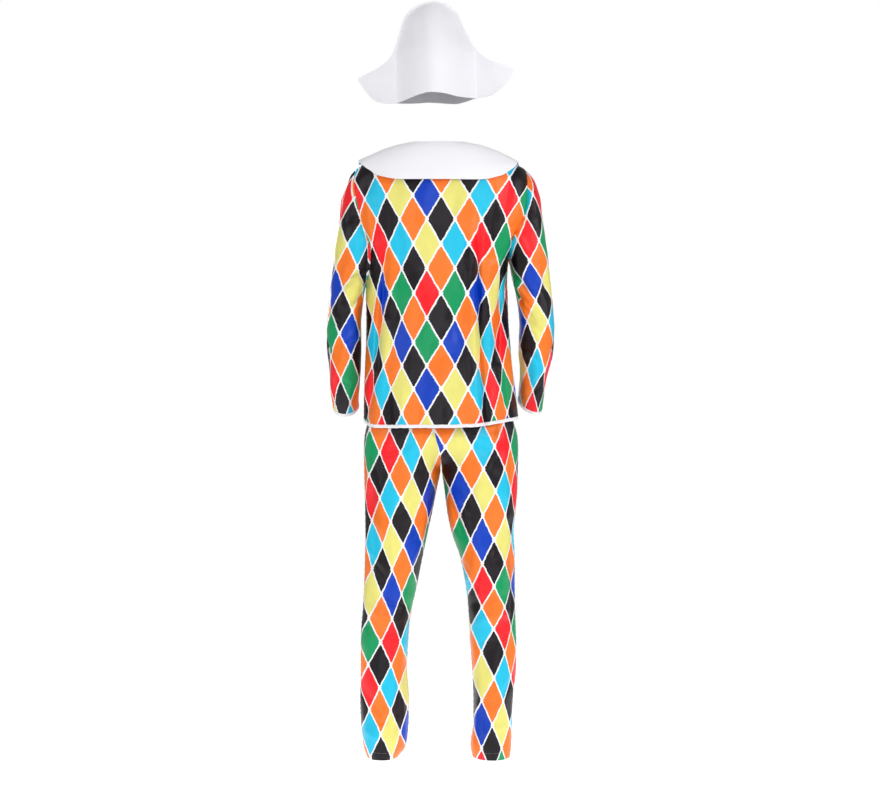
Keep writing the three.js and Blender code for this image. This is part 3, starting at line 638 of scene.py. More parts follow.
def waistband_piece():
    """The casing of the elastic: a short ring that carries on from the legs, gathered in small flutes."""
    height = np.linspace(LEG_TOP, CASING_TOP, CASING_GRID[1])
    angle = np.linspace(0, 180, CASING_GRID[0])
    top = np.array([LEG_TOP - 1.0, LEG_TOP])
    lines = [trouser_points(s, f, top, angle)[1] for s, f in
             (("left", "back"), ("right", "back"), ("right", "front"), ("left", "front"))]
    ring = closed_ring([lines[0], lines[1][::-1], lines[2], lines[3][::-1]])
    centre = ring.mean(axis=0)
    out = ring - centre
    out[:, 2] = 0
    length = np.linalg.norm(out, axis=-1, keepdims=True)
    turn = np.arctan2(out[:, 1], out[:, 0])
    swell = FLUTE_DEPTH * np.sin(turn * FLUTES + FLUTE_DRIFT * np.sin(turn * FLUTE_DRIFTS)) + CASING_PROUD
    points = []
    for h in height:
        belly = np.sin(np.pi * (h - LEG_TOP) / (CASING_TOP - LEG_TOP)).clip(0, 1) ** 0.5
        level = ring + out / length * (swell * belly + CASING_PROUD)[:, None]
        level[:, 2] = (h - WORN_AT) * MM
        points.append(level)
    points = np.array(points)
    uv = np.stack(np.broadcast_arrays(turn[None, :] * CASING_PRINT_RADIUS, (height * MM)[:, None]), axis=-1)
    piece = shell("waist_casing", points, uv, CASING_WALL, PRINT, centre, closed=True)
    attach(piece, "root")
    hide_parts("waistband")


waistband_piece()


# The body of the top
# A back and a front piece, sewn at the sides and over the shoulders. It hangs loose, so that the spare width
# falls in soft upright folds below the shoulders and at the sides.

TORSO = rows("height left right back front", [
    [917, 182, -199, 130, -120],
    [1000, 181, -191, 127, -121],
    [1060, 179, -184, 119, -120],
    [1110, 177, -180, 109, -118],
    [1173, 176, -175, 102, -117],
    [1240, 177, -173, 105, -120],
    [1262, 177, -172, 107, -122],
    [1318, 190, -175, 112, -124],
    [1362, 207, -207, 115, -124],
    [1407, 223, -229, 117, -120],
    [1464, 231, -240, 116, -112],
    [1510, 222, -235, 110, -100],
    [1541, 207, -219, 101, -88],
    [1556, 190, -196, 95, -81],
    [1570, 166, -174, 88, -75],
    [1585, 138, -144, 79, -69],
    [1597, 107, -112, 70, -63],
    [1606, 75, -77, 62, -58],
])
HEM_HEIGHT = 917
NECK_HEIGHT = 1606
NECK_SCOOP = 26
SCOOP_FROM = 1480
HEM_RAISED = rows("x up", [
    [-199, 19], [-154, 12], [-80, 3], [0, 1], [60, 1], [140, 0], [162, 2], [174, 7], [181, 14], [188, 22],
])
HEM_FADE = 160
ARMHOLES = {
    "left": rows("height x", [
        [1262, 177], [1290, 168], [1331, 163], [1352, 166], [1407, 184], [1464, 198], [1510, 205],
        [1545, 203.5],
    ]),
    "right": rows("height x", [
        [1318, -175], [1345, -179], [1373, -187], [1407, -202], [1431, -214], [1464, -220], [1510, -221],
        [1541, -219],
    ]),
}
TORSO_FOLDS = {
    "back": rows("topX footX top foot half out runsOut bend hides", [
        [-83, -97, 1470, 917, 11, 8, 1, 3, 0],
        [-98, -113, 1470, 917, 6, -10, 1, 3, 17],
        [-120, -134, 1430, 917, 12, 8, 1, 1.5, 0],
        [-158, -133, 1300, 1020, 6.5, -9, 0, 1, 9],
        [-152, -164, 1110, 917, 7, -9, 1, 1, 8],
        [108, 152, 1420, 917, 13, 8, 1, 2, 0],
        [124, 174, 1450, 917, 6.5, -10, 1, 2, 16],
        [142, 186, 1300, 917, 9, 4, 1, 1.8, 0],
        [-16, -38, 1230, 917, 26, 3, 1, 1, 0],
        [24, 34, 1160, 917, 30, -4, 1, 1, 0],
        [66, 74, 1250, 917, 26, 3, 1, 1, 0],
    ]),
    "front": rows("topX footX top foot half out runsOut bend hides", [
        [-94, -104, 1390, 917, 6.5, -9, 1, 1.5, 10],
        [-78, -84, 1370, 917, 12, 5, 1, 1.5, 0],
        [-116, -128, 1370, 917, 13, 4, 1, 1.5, 0],
        [96, 118, 1380, 917, 6.5, -9, 1, 1.5, 10],
        [112, 138, 1330, 917, 13, 5, 1, 1.5, 0],
        [80, 98, 1330, 917, 12, 4, 1, 1.5, 0],
        [6, 10, 1150, 917, 32, -4, 1, 1, 0],
    ]),
}
TORSO_CREASES = {
    "back": rows("a0 b0 a1 b1 half out bow", [
        [168, 1500, 150, 1430, 8, -4, 4], [158, 1490, 152, 1420, 7, 3, 2],
        [150, 1310, 120, 1370, 10, 4, 5], [165, 1300, 140, 1390, 8, -4, 6],
        [170, 1275, 120, 1240, 9, -3.5, 4], [150, 1180, 80, 1150, 12, -3, 5],
        [-200, 1440, -160, 1390, 9, 4, 5], [-205, 1400, -150, 1340, 8, -5, 6],
        [-180, 1350, -130, 1300, 9, 4, 6], [-168, 1310, -120, 1250, 9, -4, 5],
        [-150, 1180, -70, 1140, 12, -3, -5], [60, 1480, 90, 1330, 22, 2, 5],
        [-60, 1480, -90, 1340, 22, 2, -5], [-20, 1230, 60, 1190, 16, -2.5, 5],
        [-60, 1100, 30, 1080, 15, -2, 5], [100, 1060, 160, 1010, 10, 3, 3],
        [-60, 1000, -20, 940, 14, 2, 3], [60, 1010, 80, 930, 13, -2.5, 3],
    ]),
    "front": rows("a0 b0 a1 b1 half out bow", [
        [160, 1480, 120, 1400, 10, -4, 4], [-190, 1470, -130, 1390, 10, -4, 4],
        [165, 1300, 110, 1370, 9, 4, 5], [-168, 1330, -110, 1380, 9, 4, 5],
        [150, 1270, 90, 1300, 10, -3.5, 4], [-150, 1280, -90, 1310, 10, -3.5, 4],
        [-60, 1220, 70, 1190, 16, -2.5, 6], [-90, 1120, 40, 1100, 15, 2.5, 5],
        [-30, 1050, 90, 1010, 15, -2.5, 5], [120, 1180, 60, 1120, 12, 3, 4],
        [-130, 1150, -80, 1080, 12, -3, 4], [40, 1420, 10, 1300, 22, 2, 4],
    ]),
}

# The x of the middle of each column of the print, at some heights. The folds take up cloth.
BACK_PRINT_COLUMNS = rows("height -3 -2 -1 0 1 2 3 4", [
    [900, 170, 136, 86, 25.8, -43, -101, -138, -173],
    [997, 168, 134, 86, 25.8, -43.2, -99, -133.7, -167.7],
    [1116, 157, 125, 86, 25.8, -42.2, -90.5, -123, -156],
    [1236, 165, 134, 86, 25.8, -42.2, -97, -140, -157],
    [1354, 178, 140, 88, 25.8, -42.2, -105, -160.5, -198],
    [1471, 202, 151, 93, 25.3, -43.2, -110, -172.5, -225],
    [1610, 206, 150, 92, 25, -43, -112, -178, -236],
])
FRONT_PRINT_COLUMNS = rows("height -3 -2 -1 0 1 2 3", [
    [900, 168, 122, 66, 0, -66, -122, -172],
    [1236, 164, 124, 67, 0, -67, -124, -166],
    [1354, 186, 132, 68, 0, -68, -132, -192],
    [1610, 200, 136, 68, 0, -68, -136, -206],
])
TORSO_PRINT_ROWS = rows("height row", [
    [880, -3.57], [1004, -2.5], [1116, -1.5], [1235.8, -0.5], [1354.5, 0.5], [1471, 1.5], [1610, 2.8],
])
# How far the print is pulled down where the cloth goes over the tips of the shoulders
SHOULDER_PULL = 11
PULL_FROM_X, PULL_FULL_AFTER_X = 125, 60
PULL_FROM_HEIGHT, PULL_FULL_AFTER_HEIGHT = 1400, 110
TORSO_RIPPLE = 1.3
# How soon after the side seams each kind of relief has its full depth
FOLDS_EASE, CREASES_EASE, RIPPLE_EASE = 2, 2.5, 3
TORSO_MIDDLE = 1260
TORSO_NEAR_SEAM = [0.003, 0.007, 0.013]
JUST_INSIDE = 0.01


def torso_size(column, height):
    return follow(TORSO, "height", column, height)


def armhole_turn(side, height):
    """How far round from the middle of the back, in degrees, the body's cloth reaches at a height."""
    table = ARMHOLES[side]
    middle = (torso_size("left", height) + torso_size("right", height)) / 2
    half = (torso_size("left", height) - torso_size("right", height)) / 2
    share = np.abs(follow(table, "height", "x", height) - middle) / half
    turn = np.degrees(np.arcsin(np.minimum(1, share) ** (1 / SQUARE_TORSO)))
    in_hole = (height > table["height"][0] + JUST_INSIDE) & (height < table["height"][-1] - JUST_INSIDE)
    return np.where(in_hole, turn, 90.0)


def torso_points(turn, height, wrinkled=True):
    """Outer points of the body. A turn of 0 is the middle of the back, 90 the left side, 180 the front."""
    middle = (torso_size("left", height) + torso_size("right", height)) / 2
    half = (torso_size("left", height) - torso_size("right", height)) / 2
    x = middle + half * power(np.sin(np.radians(turn)), SQUARE_TORSO)
    facing = power(np.cos(np.radians(turn)), SQUARE_TORSO)
    y = np.where(facing >= 0, torso_size("back", height), -torso_size("front", height)) * facing
    if wrinkled:
        for face, away, here in (("back", 1, facing >= 0), ("front", -1, facing < 0)):
            relief = folds_out(TORSO_FOLDS[face], x, height) * smooth(np.abs(facing) * FOLDS_EASE)
            creases = creases_out(TORSO_CREASES[face], x, height)
            relief = relief + creases * smooth(np.abs(facing) * CREASES_EASE)
            uneven = TORSO_RIPPLE * ripple(x * MM, height * MM)
            relief = relief + uneven * smooth(np.abs(facing) * RIPPLE_EASE)
            y = y + np.where(here, away * relief, 0)
    hem = follow(HEM_RAISED, "x", "up", x) * (1 - smooth((height - HEM_HEIGHT) / HEM_FADE))
    return place(x, y, height + hem)


def torso_grid(face, row_count=176, column_count=170, wrinkled=True):
    marks = [ARMHOLES[side]["height"][end] for side in ARMHOLES for end in (0, -1)]
    height = np.unique(np.concatenate([np.linspace(HEM_HEIGHT, NECK_HEIGHT, row_count), marks]).round(4))
    share = even_with_ends(column_count, TORSO_NEAR_SEAM)
    left, right = armhole_turn("left", height), armhole_turn("right", height)
    turn = -right[:, None] + (left + right)[:, None] * share[None, :]
    level = height[:, None] * np.ones_like(turn)
    if face == "front":
        scoop = NECK_SCOOP * np.cos(np.radians(turn)) ** 2
        level = level - scoop * smooth((level - SCOOP_FROM) / (NECK_HEIGHT - SCOOP_FROM))
        turn = 180 - turn
    return height, share, torso_points(turn, level, wrinkled)


def armhole_facing(side, points):
    """At the armhole seam both cloths face straight out from the middle of the hole."""
    table = ARMHOLES[side]
    under, tip = table["height"][0], table["height"][-1]
    up = (points[..., 2] / MM + WORN_AT - (under + tip) / 2) / ((tip - under) / 2) ** 2
    back = points[..., 1] / MM / torso_size("back", (under + tip) / 2) ** 2
    normal = np.stack([np.zeros_like(up), back, up], axis=-1)
    return normal / np.linalg.norm(normal, axis=-1, keepdims=True)


def in_armhole(side, height):
    table = ARMHOLES[side]
    return (height >= table["height"][0] - JUST_INSIDE) & (height <= table["height"][-1] + JUST_INSIDE)


def body_piece(face):
    height, _, points = torso_grid(face)
    flat = torso_grid(face, wrinkled=False)[2]
    across = print_across(flat, height, BACK_PRINT_COLUMNS if face == "back" else FRONT_PRINT_COLUMNS)
    level = points[..., 2] / MM + WORN_AT
    up = follow(TORSO_PRINT_ROWS, "height", "row", level) + (FRONT_ROWS_ON if face == "front" else 0)
    over_shoulder = smooth((np.abs(points[..., 0]) / MM - PULL_FROM_X) / PULL_FULL_AFTER_X)
    over_shoulder = over_shoulder * smooth((level - PULL_FROM_HEIGHT) / PULL_FULL_AFTER_HEIGHT)
    up = up + SHOULDER_PULL / (DIAMOND_HEIGHT / MM) * over_shoulder
    hidden = cloth_hidden(TORSO_FOLDS[face], points[..., 0] / MM, level)
    uv = np.stack([across * DIAMOND_WIDTH - hidden, up * DIAMOND_HEIGHT], axis=-1)
    inside = place(0, 0, TORSO_MIDDLE)
    points = sewn_edges(points, inside, depth=0.0010, reach=0.0028)

    def seam(normals):
        for side, j in (("left", -1), ("right", 0)):
            normals[:, j, 1] = 0
            normals[:, j] /= np.linalg.norm(normals[:, j], axis=-1, keepdims=True)
            here = in_armhole(side, height)
            normals[here, j] = armhole_facing(side, points[here, j])

    piece = shell(f"top_{face}_cloth", points, uv, CLOTH, PRINT, inside, seam=seam)
    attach(piece, "root")
    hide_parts(f"top_{face}")
    return points


body_points = {face: body_piece(face) for face in ("back", "front")}


# The sleeves
# Each is one piece, sewn into the armhole and closed by a seam on its underside. It hangs a little bent at
# the elbow, with short creases inside the bend and below the armhole.

SLEEVES = {
    "left": rows("outX outZ inX inZ back front", [
        [203.5, 1545, 177, 1262, 92, -86],
        [212, 1535, 178, 1256, 90, -84],
        [221, 1519, 179, 1247, 86, -80],
        [230, 1498, 180.5, 1235, 81, -76],
        [238, 1471, 182, 1218, 76, -72],
        [245, 1435, 184, 1196, 71, -68],
        [253, 1372, 186, 1168, 65, -64],
        [260, 1292, 187.5, 1132, 60, -62],
        [267, 1216, 188.5, 1098, 57, -62],
        [273, 1153, 190, 1068, 52, -64],
        [274, 1108, 191, 1042, 44, -68],
        [269, 1062, 193, 1015, 32, -74],
        [267, 1008, 196, 985, 14, -83],
        [262, 960, 197.6, 962, -6, -94],
    ]),
    "right": rows("outX outZ inX inZ back front", [
        [-219, 1541, -175, 1318, 92, -84],
        [-232, 1527, -177, 1310, 90, -83],
        [-243, 1506, -179, 1297, 86, -80],
        [-252, 1477, -182, 1281, 81, -76],
        [-258, 1440, -186, 1263, 76, -72],
        [-265, 1393, -191, 1243, 71, -68],
        [-271, 1336, -195, 1219, 65, -64],
        [-277, 1272, -198, 1190, 60, -62],
        [-284, 1212, -200, 1158, 57, -62],
        [-288.7, 1155, -200.6, 1124, 52, -64],
        [-287.5, 1105, -201, 1091, 44, -68],
        [-280, 1062, -205, 1055, 32, -74],
        [-269, 1018, -204, 1018, 14, -83],
        [-263, 956, -201, 980, -6, -94],
    ]),
}
CUFF_DROP = 20
CAP_FADE = 0.5
# A turn of 0 is the outside of the sleeve, 90 its back and 180 the side to the body
MM_FOR_A_DEGREE = 0.9
SLEEVE_CREASE_DEPTH = 2.0
SLEEVE_CREASES = {
    "left": rows("a0 b0 a1 b1 half out bow", [
        [150, 1290, 90, 1265, 7, -4, 4], [150, 1262, 80, 1240, 8, 4, 4],
        [160, 1235, 95, 1205, 7, -4, -3], [40, 1180, 110, 1150, 9, -3, 4],
        [150, 1130, 90, 1100, 8, 3, 4], [110, 1480, 60, 1400, 10, -3, 5],
        [130, 1420, 100, 1330, 9, 3, 5], [70, 1330, 60, 1240, 12, -2.5, 5],
        [60, 1040, 120, 1010, 8, -2.5, 4], [230, 1210, 320, 1180, 8, -4, 5],
        [225, 1170, 320, 1150, 8, 4, 4], [230, 1130, 310, 1120, 8, -3.5, 4],
        [250, 1400, 300, 1340, 10, -3, 4], [240, 1030, 300, 1005, 8, -2.5, 4],
        [0, 1120, 60, 1090, 9, -2.5, 3],
    ]),
    "right": rows("a0 b0 a1 b1 half out bow", [
        [160, 1285, 95, 1235, 6, -5, 3], [165, 1262, 90, 1205, 7, 5, 4], [165, 1240, 100, 1180, 6, -5, -3],
        [150, 1215, 80, 1165, 8, 4, 4], [140, 1170, 70, 1140, 8, -3, 4], [110, 1470, 60, 1400, 10, -3, 5],
        [130, 1400, 100, 1330, 9, 3, 5], [60, 1320, 50, 1230, 12, -2.5, 5], [150, 1100, 80, 1070, 8, -3, 4],
        [40, 1060, 110, 1030, 8, 2.5, 4], [60, 1010, 120, 990, 7, -2.5, 4], [230, 1210, 320, 1180, 8, -4, 5],
        [225, 1170, 320, 1150, 8, 4, 4], [230, 1130, 310, 1120, 8, -3.5, 4], [10, 1110, 60, 1080, 9, -2.5, 3],
    ]),
}
# The print on the sleeves: the column at the outside, the columns for each degree of turn, and the rows
SLEEVE_PRINT = {
    "left": {"outside": 4.487, "each_degree": 1 / 77},
    "right": {"outside": 3.286, "each_degree": -1 / 70},
}
# At the shoulder the sleeve is taken to be this wide. Near its outside the print follows the plain angle
SLEEVE_TOP_WIDTH = 88
OUTSIDE_EASE = 0.4
SLEEVE_RIPPLE = 1.8
SLEEVE_RIPPLE_SEED = 3.0
SLEEVE_TOP_EASE = 9
SLEEVE_LENGTH = 600
SLEEVE_GRID = (112, 150)
SLEEVE_NEAR_SEAM = [0.002, 0.005, 0.01]
ARMHOLE_SINK = 0.0010
ARMHOLE_SINK_REACH = 2.8
SLEEVE_PRINT_ROWS = {
    "left": rows("height row", [
        [900, 4.6], [1026, 3.5], [1139, 2.5], [1248, 1.5], [1355, 0.5], [1466, -0.5], [1575, -1.45],
    ]),
    "right": rows("height row", [
        [900, -3.9], [948, -3.5], [1050, -2.5], [1168, -1.5], [1267, -0.5], [1366, 0.5], [1480, 1.5],
        [1590, 2.5],
    ]),
}


def sleeve_oval(side, along, angle):
    table = SLEEVES[side]
    ring = {"index": np.arange(len(table["outX"]), dtype=float), **table}
    at = along * (len(table["outX"]) - 1)
    size = {name: follow(ring, "index", name, at) for name in table}
    share = (1 + np.cos(angle)) / 2
    x = size["inX"] + (size["outX"] - size["inX"]) * share
    drop = CUFF_DROP * smooth(along * 2 - 1) * np.sin(angle)
    height = size["inZ"] + (size["outZ"] - size["inZ"]) * share - drop
    y = (size["back"] + size["front"]) / 2 + (size["back"] - size["front"]) / 2 * np.sin(angle)
    return x, y, height


def armhole_loop(side, angle):
    """Points of the armhole seam for each angle round the sleeve, from the shoulder round the back."""
    column = -1 if side == "left" else 0
    lines = []
    for face in ("back", "front"):
        height, _, points = torso_grid(face, row_count=200, column_count=12, wrinkled=False)
        here = in_armhole(side, height)
        lines.append(points[here, column])
    loop = np.concatenate([lines[0][::-1], lines[1][1:]])
    length = np.concatenate([[0], np.cumsum(np.linalg.norm(np.diff(loop, axis=0), axis=-1))])
    under = length[len(lines[0]) - 1]
    turn = np.where(length <= under, np.pi * length / under,
                    np.pi + np.pi * (length - under) / (length[-1] - under))
    return np.stack([np.interp(angle, turn, loop[:, k]) for k in range(3)], axis=-1)


def upright_turn(side, x, height, angle):
    """How far round a point lies, in degrees, if the sleeve were an upright tube as wide as it looks."""
    table = SLEEVES[side]
    away = 1 if side == "left" else -1
    outer = {"z": table["outZ"][::-1], "x": table["outX"][::-1]}
    inner = {"z": table["inZ"][::-1], "x": table["inX"][::-1]}
    outside = away * follow(outer, "z", "x", height)
    inside = away * follow(inner, "z", "x", height)
    inside = np.where(height > table["inZ"][0], np.minimum(inside, outside - SLEEVE_TOP_WIDTH), inside)
    share = 2 * (away * x - inside) / (outside - inside) - 1
    turn = np.degrees(np.arccos(np.clip(share, -1, 1)) + np.clip(-1 - share, 0, None))
    from_outside = np.minimum(angle, 2 * np.pi - angle)
    turn = turn + (np.degrees(from_outside) - turn) * np.exp(-((from_outside / OUTSIDE_EASE) ** 2))
    return np.where(angle <= np.pi, turn, 360 - turn)


def sleeve_piece(side):
    angle = np.linspace(0, 2 * np.pi, SLEEVE_GRID[0], endpoint=False)
    along = np.unique(np.concatenate([np.linspace(0, 1, SLEEVE_GRID[1]), SLEEVE_NEAR_SEAM]))
    turn, share = angle[None, :], along[:, None]
    x, y, height = sleeve_oval(side, share, turn)
    start = armhole_loop(side, angle) / MM + [0, 0, WORN_AT]
    first = np.stack(sleeve_oval(side, np.zeros((1, 1)), turn), axis=-1)[0]
    fade = np.clip(1 - share / CAP_FADE, 0, 1) ** 2
    shift = (start - first)[None] * fade[..., None]
    x, y, height = x + shift[..., 0], y + shift[..., 1], height + shift[..., 2]
    smooth_x = x
    degrees = np.degrees(turn) * np.ones_like(height)
    creases = {name: value.copy() for name, value in SLEEVE_CREASES[side].items()}
    creases["a0"] *= MM_FOR_A_DEGREE
    creases["a1"] *= MM_FOR_A_DEGREE
    round_sleeve = degrees * MM_FOR_A_DEGREE
    relief = creases_out(creases, round_sleeve, height) * SLEEVE_CREASE_DEPTH
    relief = relief + SLEEVE_RIPPLE * ripple(round_sleeve * MM, height * MM, SLEEVE_RIPPLE_SEED)
    relief = relief * smooth(share * SLEEVE_TOP_EASE)
    centre_x = (x.max(axis=1, keepdims=True) + x.min(axis=1, keepdims=True)) / 2
    centre_y = (y.max(axis=1, keepdims=True) + y.min(axis=1, keepdims=True)) / 2
    out_x, out_y = x - centre_x, y - centre_y
    length = np.hypot(out_x, out_y)
    x, y = x + relief * out_x / length, y + relief * out_y / length
    points = place(x, y, height)
    seat = ARMHOLE_SINK * np.exp(-((share * SLEEVE_LENGTH) / ARMHOLE_SINK_REACH) ** 2)
    points[..., 0] -= np.sign(points[..., 0]) * seat
    look = SLEEVE_PRINT[side]
    across = look["outside"] + look["each_degree"] * upright_turn(side, smooth_x, height, turn)
    up = follow(SLEEVE_PRINT_ROWS[side], "height", "row", height)
    uv = np.stack([across * DIAMOND_WIDTH, up * DIAMOND_HEIGHT], axis=-1)
    middle = points[len(points) // 2].mean(axis=0)
    # The sleeve's own seam runs along its underside, where the print starts and ends, so it is doubled
    full_turn = look["each_degree"] * 360 * DIAMOND_WIDTH
    order = np.roll(np.arange(len(angle)), -len(angle) // 2)
    points, uv = points[:, order], uv[:, order]
    points = np.concatenate([points, points[:, :1]], axis=1)
    closing = uv[:, :1].copy()
    uv[:, : len(angle) // 2, 0] -= full_turn
    closing[..., 0] = uv[:, :1, 0] + full_turn
    uv = np.concatenate([uv, closing], axis=1)

    def seam(normals):
        normals[0] = armhole_facing(side, points[0])
        edge = normals[:, 0] + normals[:, -1]
        edge /= np.linalg.norm(edge, axis=-1, keepdims=True)
        normals[:, 0] = normals[:, -1] = edge

    piece = shell(f"sleeve_{side}_cloth", points, uv, CLOTH, PRINT, middle, seam=seam)
    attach(piece, "root")
    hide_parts(f"sleeve_{side}")
    return points[:, :-1]


sleeve_points = {side: sleeve_piece(side) for side in ("left", "right")}


# The white bindings
# A strip of plain white cloth folded over the raw edge of the hem and of each cuff, about 8 mm of it showing,
# and held by one row of small machine stitches near its upper edge.

BINDING_HEIGHT = 0.0085
BINDING_THICKNESS = 0.0030
BINDING_FLATNESS = (0.8, 0.6)
BINDING_SIDES = 14
BINDING_OVERLAP = 0.0005
BINDING_WAVES = ((0.0005, 310, 0.0), (0.0004, 127, 1.0))
PLACE_STEP = 0.0016
STITCH_OUT = 0.47
STITCH_UP = 0.30
WHITE_DIMMED = 0.965
NAP_SHARE = 0.6
STITCH_PITCH = 0.0034
STITCH_LENGTH = 0.0024
STITCH_THICKNESS = 0.00055
STITCH_PROUD = 0.3


def white_cloth(name, colour, roughness, rib_scale, rib_depth):
    material, n, shader = new_material(name)
    cloth = n.add("ShaderNodeUVMap", uv_map="cloth").outputs[0]
    ribs = n.add("ShaderNodeTexWave", {"Vector": cloth, "Scale": rib_scale, "Distortion": 1.5, "Detail": 2.0},
                 bands_direction="DIAGONAL").outputs["Fac"]
    nap = n.add("ShaderNodeTexNoise", {"Vector": cloth, "Scale": 900.0, "Detail": 3.0}).outputs[0]
    shade = n.add("ShaderNodeTexNoise", {"Vector": cloth, "Scale": 18.0, "Detail": 3.0}).outputs[0]
    dim = tuple(WHITE_DIMMED * c for c in colour[:3]) + (1,)
    n.tree.links.new(n.mix(shade, dim, colour), shader.inputs["Base Color"])
    height = n.math("MULTIPLY_ADD", nap, NAP_SHARE, ribs)
    bump = n.add("ShaderNodeBump", {"Height": height, "Strength": 0.3, "Distance": rib_depth})
    n.tree.links.new(bump.outputs[0], shader.inputs["Normal"])
    shader.inputs["Roughness"].default_value = roughness
    shader.inputs["Specular IOR Level"].default_value = 0.3
    shader.inputs["Sheen Weight"].default_value = 0.05
    return material


BINDING_CLOTH = white_cloth("binding_cloth", (0.85, 0.85, 0.88, 1), 0.75, 300.0, 0.0004)
THREAD = white_cloth("white_thread", (0.88, 0.88, 0.90, 1), 0.6, 900.0, 0.0002)


def stitch_tree():
    """Small stitches laid along a line of points: a short rounded bar at each step, along the line."""
    tree = bpy.data.node_groups.new("stitches_along_line", "GeometryNodeTree")
    for name, kind in (("Line", "NodeSocketGeometry"), ("Pitch", "NodeSocketFloat"),
                       ("Length", "NodeSocketFloat"), ("Thickness", "NodeSocketFloat"),
                       ("Material", "NodeSocketMaterial")):
        tree.interface.new_socket(name, in_out="INPUT", socket_type=kind)
    tree.interface.new_socket("Stitches", in_out="OUTPUT", socket_type="NodeSocketGeometry")
    nodes, link = tree.nodes, tree.links.new
    given, made = nodes.new("NodeGroupInput"), nodes.new("NodeGroupOutput")
    curve = nodes.new("GeometryNodeMeshToCurve")
    resample = nodes.new("GeometryNodeResampleCurve")
    resample.mode = "LENGTH"
    bar = nodes.new("GeometryNodeMeshCylinder")
    bar.inputs["Vertices"].default_value = 6
    bar.inputs["Radius"].default_value = 0.5
    bar.inputs["Depth"].default_value = 1.0
    size = nodes.new("ShaderNodeCombineXYZ")
    turn = nodes.new("FunctionNodeAlignRotationToVector")
    turn.axis = "Z"
    tangent = nodes.new("GeometryNodeInputTangent")
    lay = nodes.new("GeometryNodeInstanceOnPoints")
    real = nodes.new("GeometryNodeRealizeInstances")
    paint = nodes.new("GeometryNodeSetMaterial")
    link(given.outputs["Line"], curve.inputs["Mesh"])
    link(curve.outputs[0], resample.inputs["Curve"])
    link(given.outputs["Pitch"], resample.inputs["Length"])
    link(resample.outputs[0], lay.inputs["Points"])
    link(bar.outputs["Mesh"], lay.inputs["Instance"])
    link(tangent.outputs[0], turn.inputs["Vector"])
    link(turn.outputs[0], lay.inputs["Rotation"])
    for axis, source in (("X", "Thickness"), ("Y", "Thickness"), ("Z", "Length")):
        link(given.outputs[source], size.inputs[axis])
    link(size.outputs[0], lay.inputs["Scale"])
    link(lay.outputs[0], real.inputs[0])
    link(real.outputs[0], paint.inputs["Geometry"])
    link(given.outputs["Material"], paint.inputs["Material"])
    link(paint.outputs[0], made.inputs[0])
    return tree


STITCHES = stitch_tree()


def stitch_line(name, lines, pitch=STITCH_PITCH, length=STITCH_LENGTH, material=THREAD):
    """Lays stitches along each line of points, which closes on itself where its ends are the same point."""
    vertices, edges = [], []
    for line in lines:
        first = len(vertices)
        vertices += [tuple(point) for point in line]
        edges += [(first + i, first + i + 1) for i in range(len(line) - 1)]
    mesh = bpy.data.meshes.new(name + "_line")
    mesh.from_pydata(vertices, edges, [])
    carrier = bpy.data.objects.new(name + "_line", mesh)
    bpy.context.scene.collection.objects.link(carrier)
    modifier = carrier.modifiers.new("stitches", "NODES")
    modifier.node_group = STITCHES
    sockets = {item.name: item.identifier for item in STITCHES.interface.items_tree if item.in_out == "INPUT"}
    modifier[sockets["Pitch"]] = pitch
    modifier[sockets["Length"]] = length
    modifier[sockets["Thickness"]] = STITCH_THICKNESS
    modifier[sockets["Material"]] = material
    bpy.context.view_layer.update()
    ready = carrier.evaluated_get(bpy.context.evaluated_depsgraph_get())
    plain = bpy.data.meshes.new_from_object(ready)
    plain.name = name
    plain.shade_smooth()
    bpy.data.objects.remove(carrier)
    piece = bpy.data.objects.new(name, plain)
    bpy.context.scene.collection.objects.link(piece)
    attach(piece, "root")


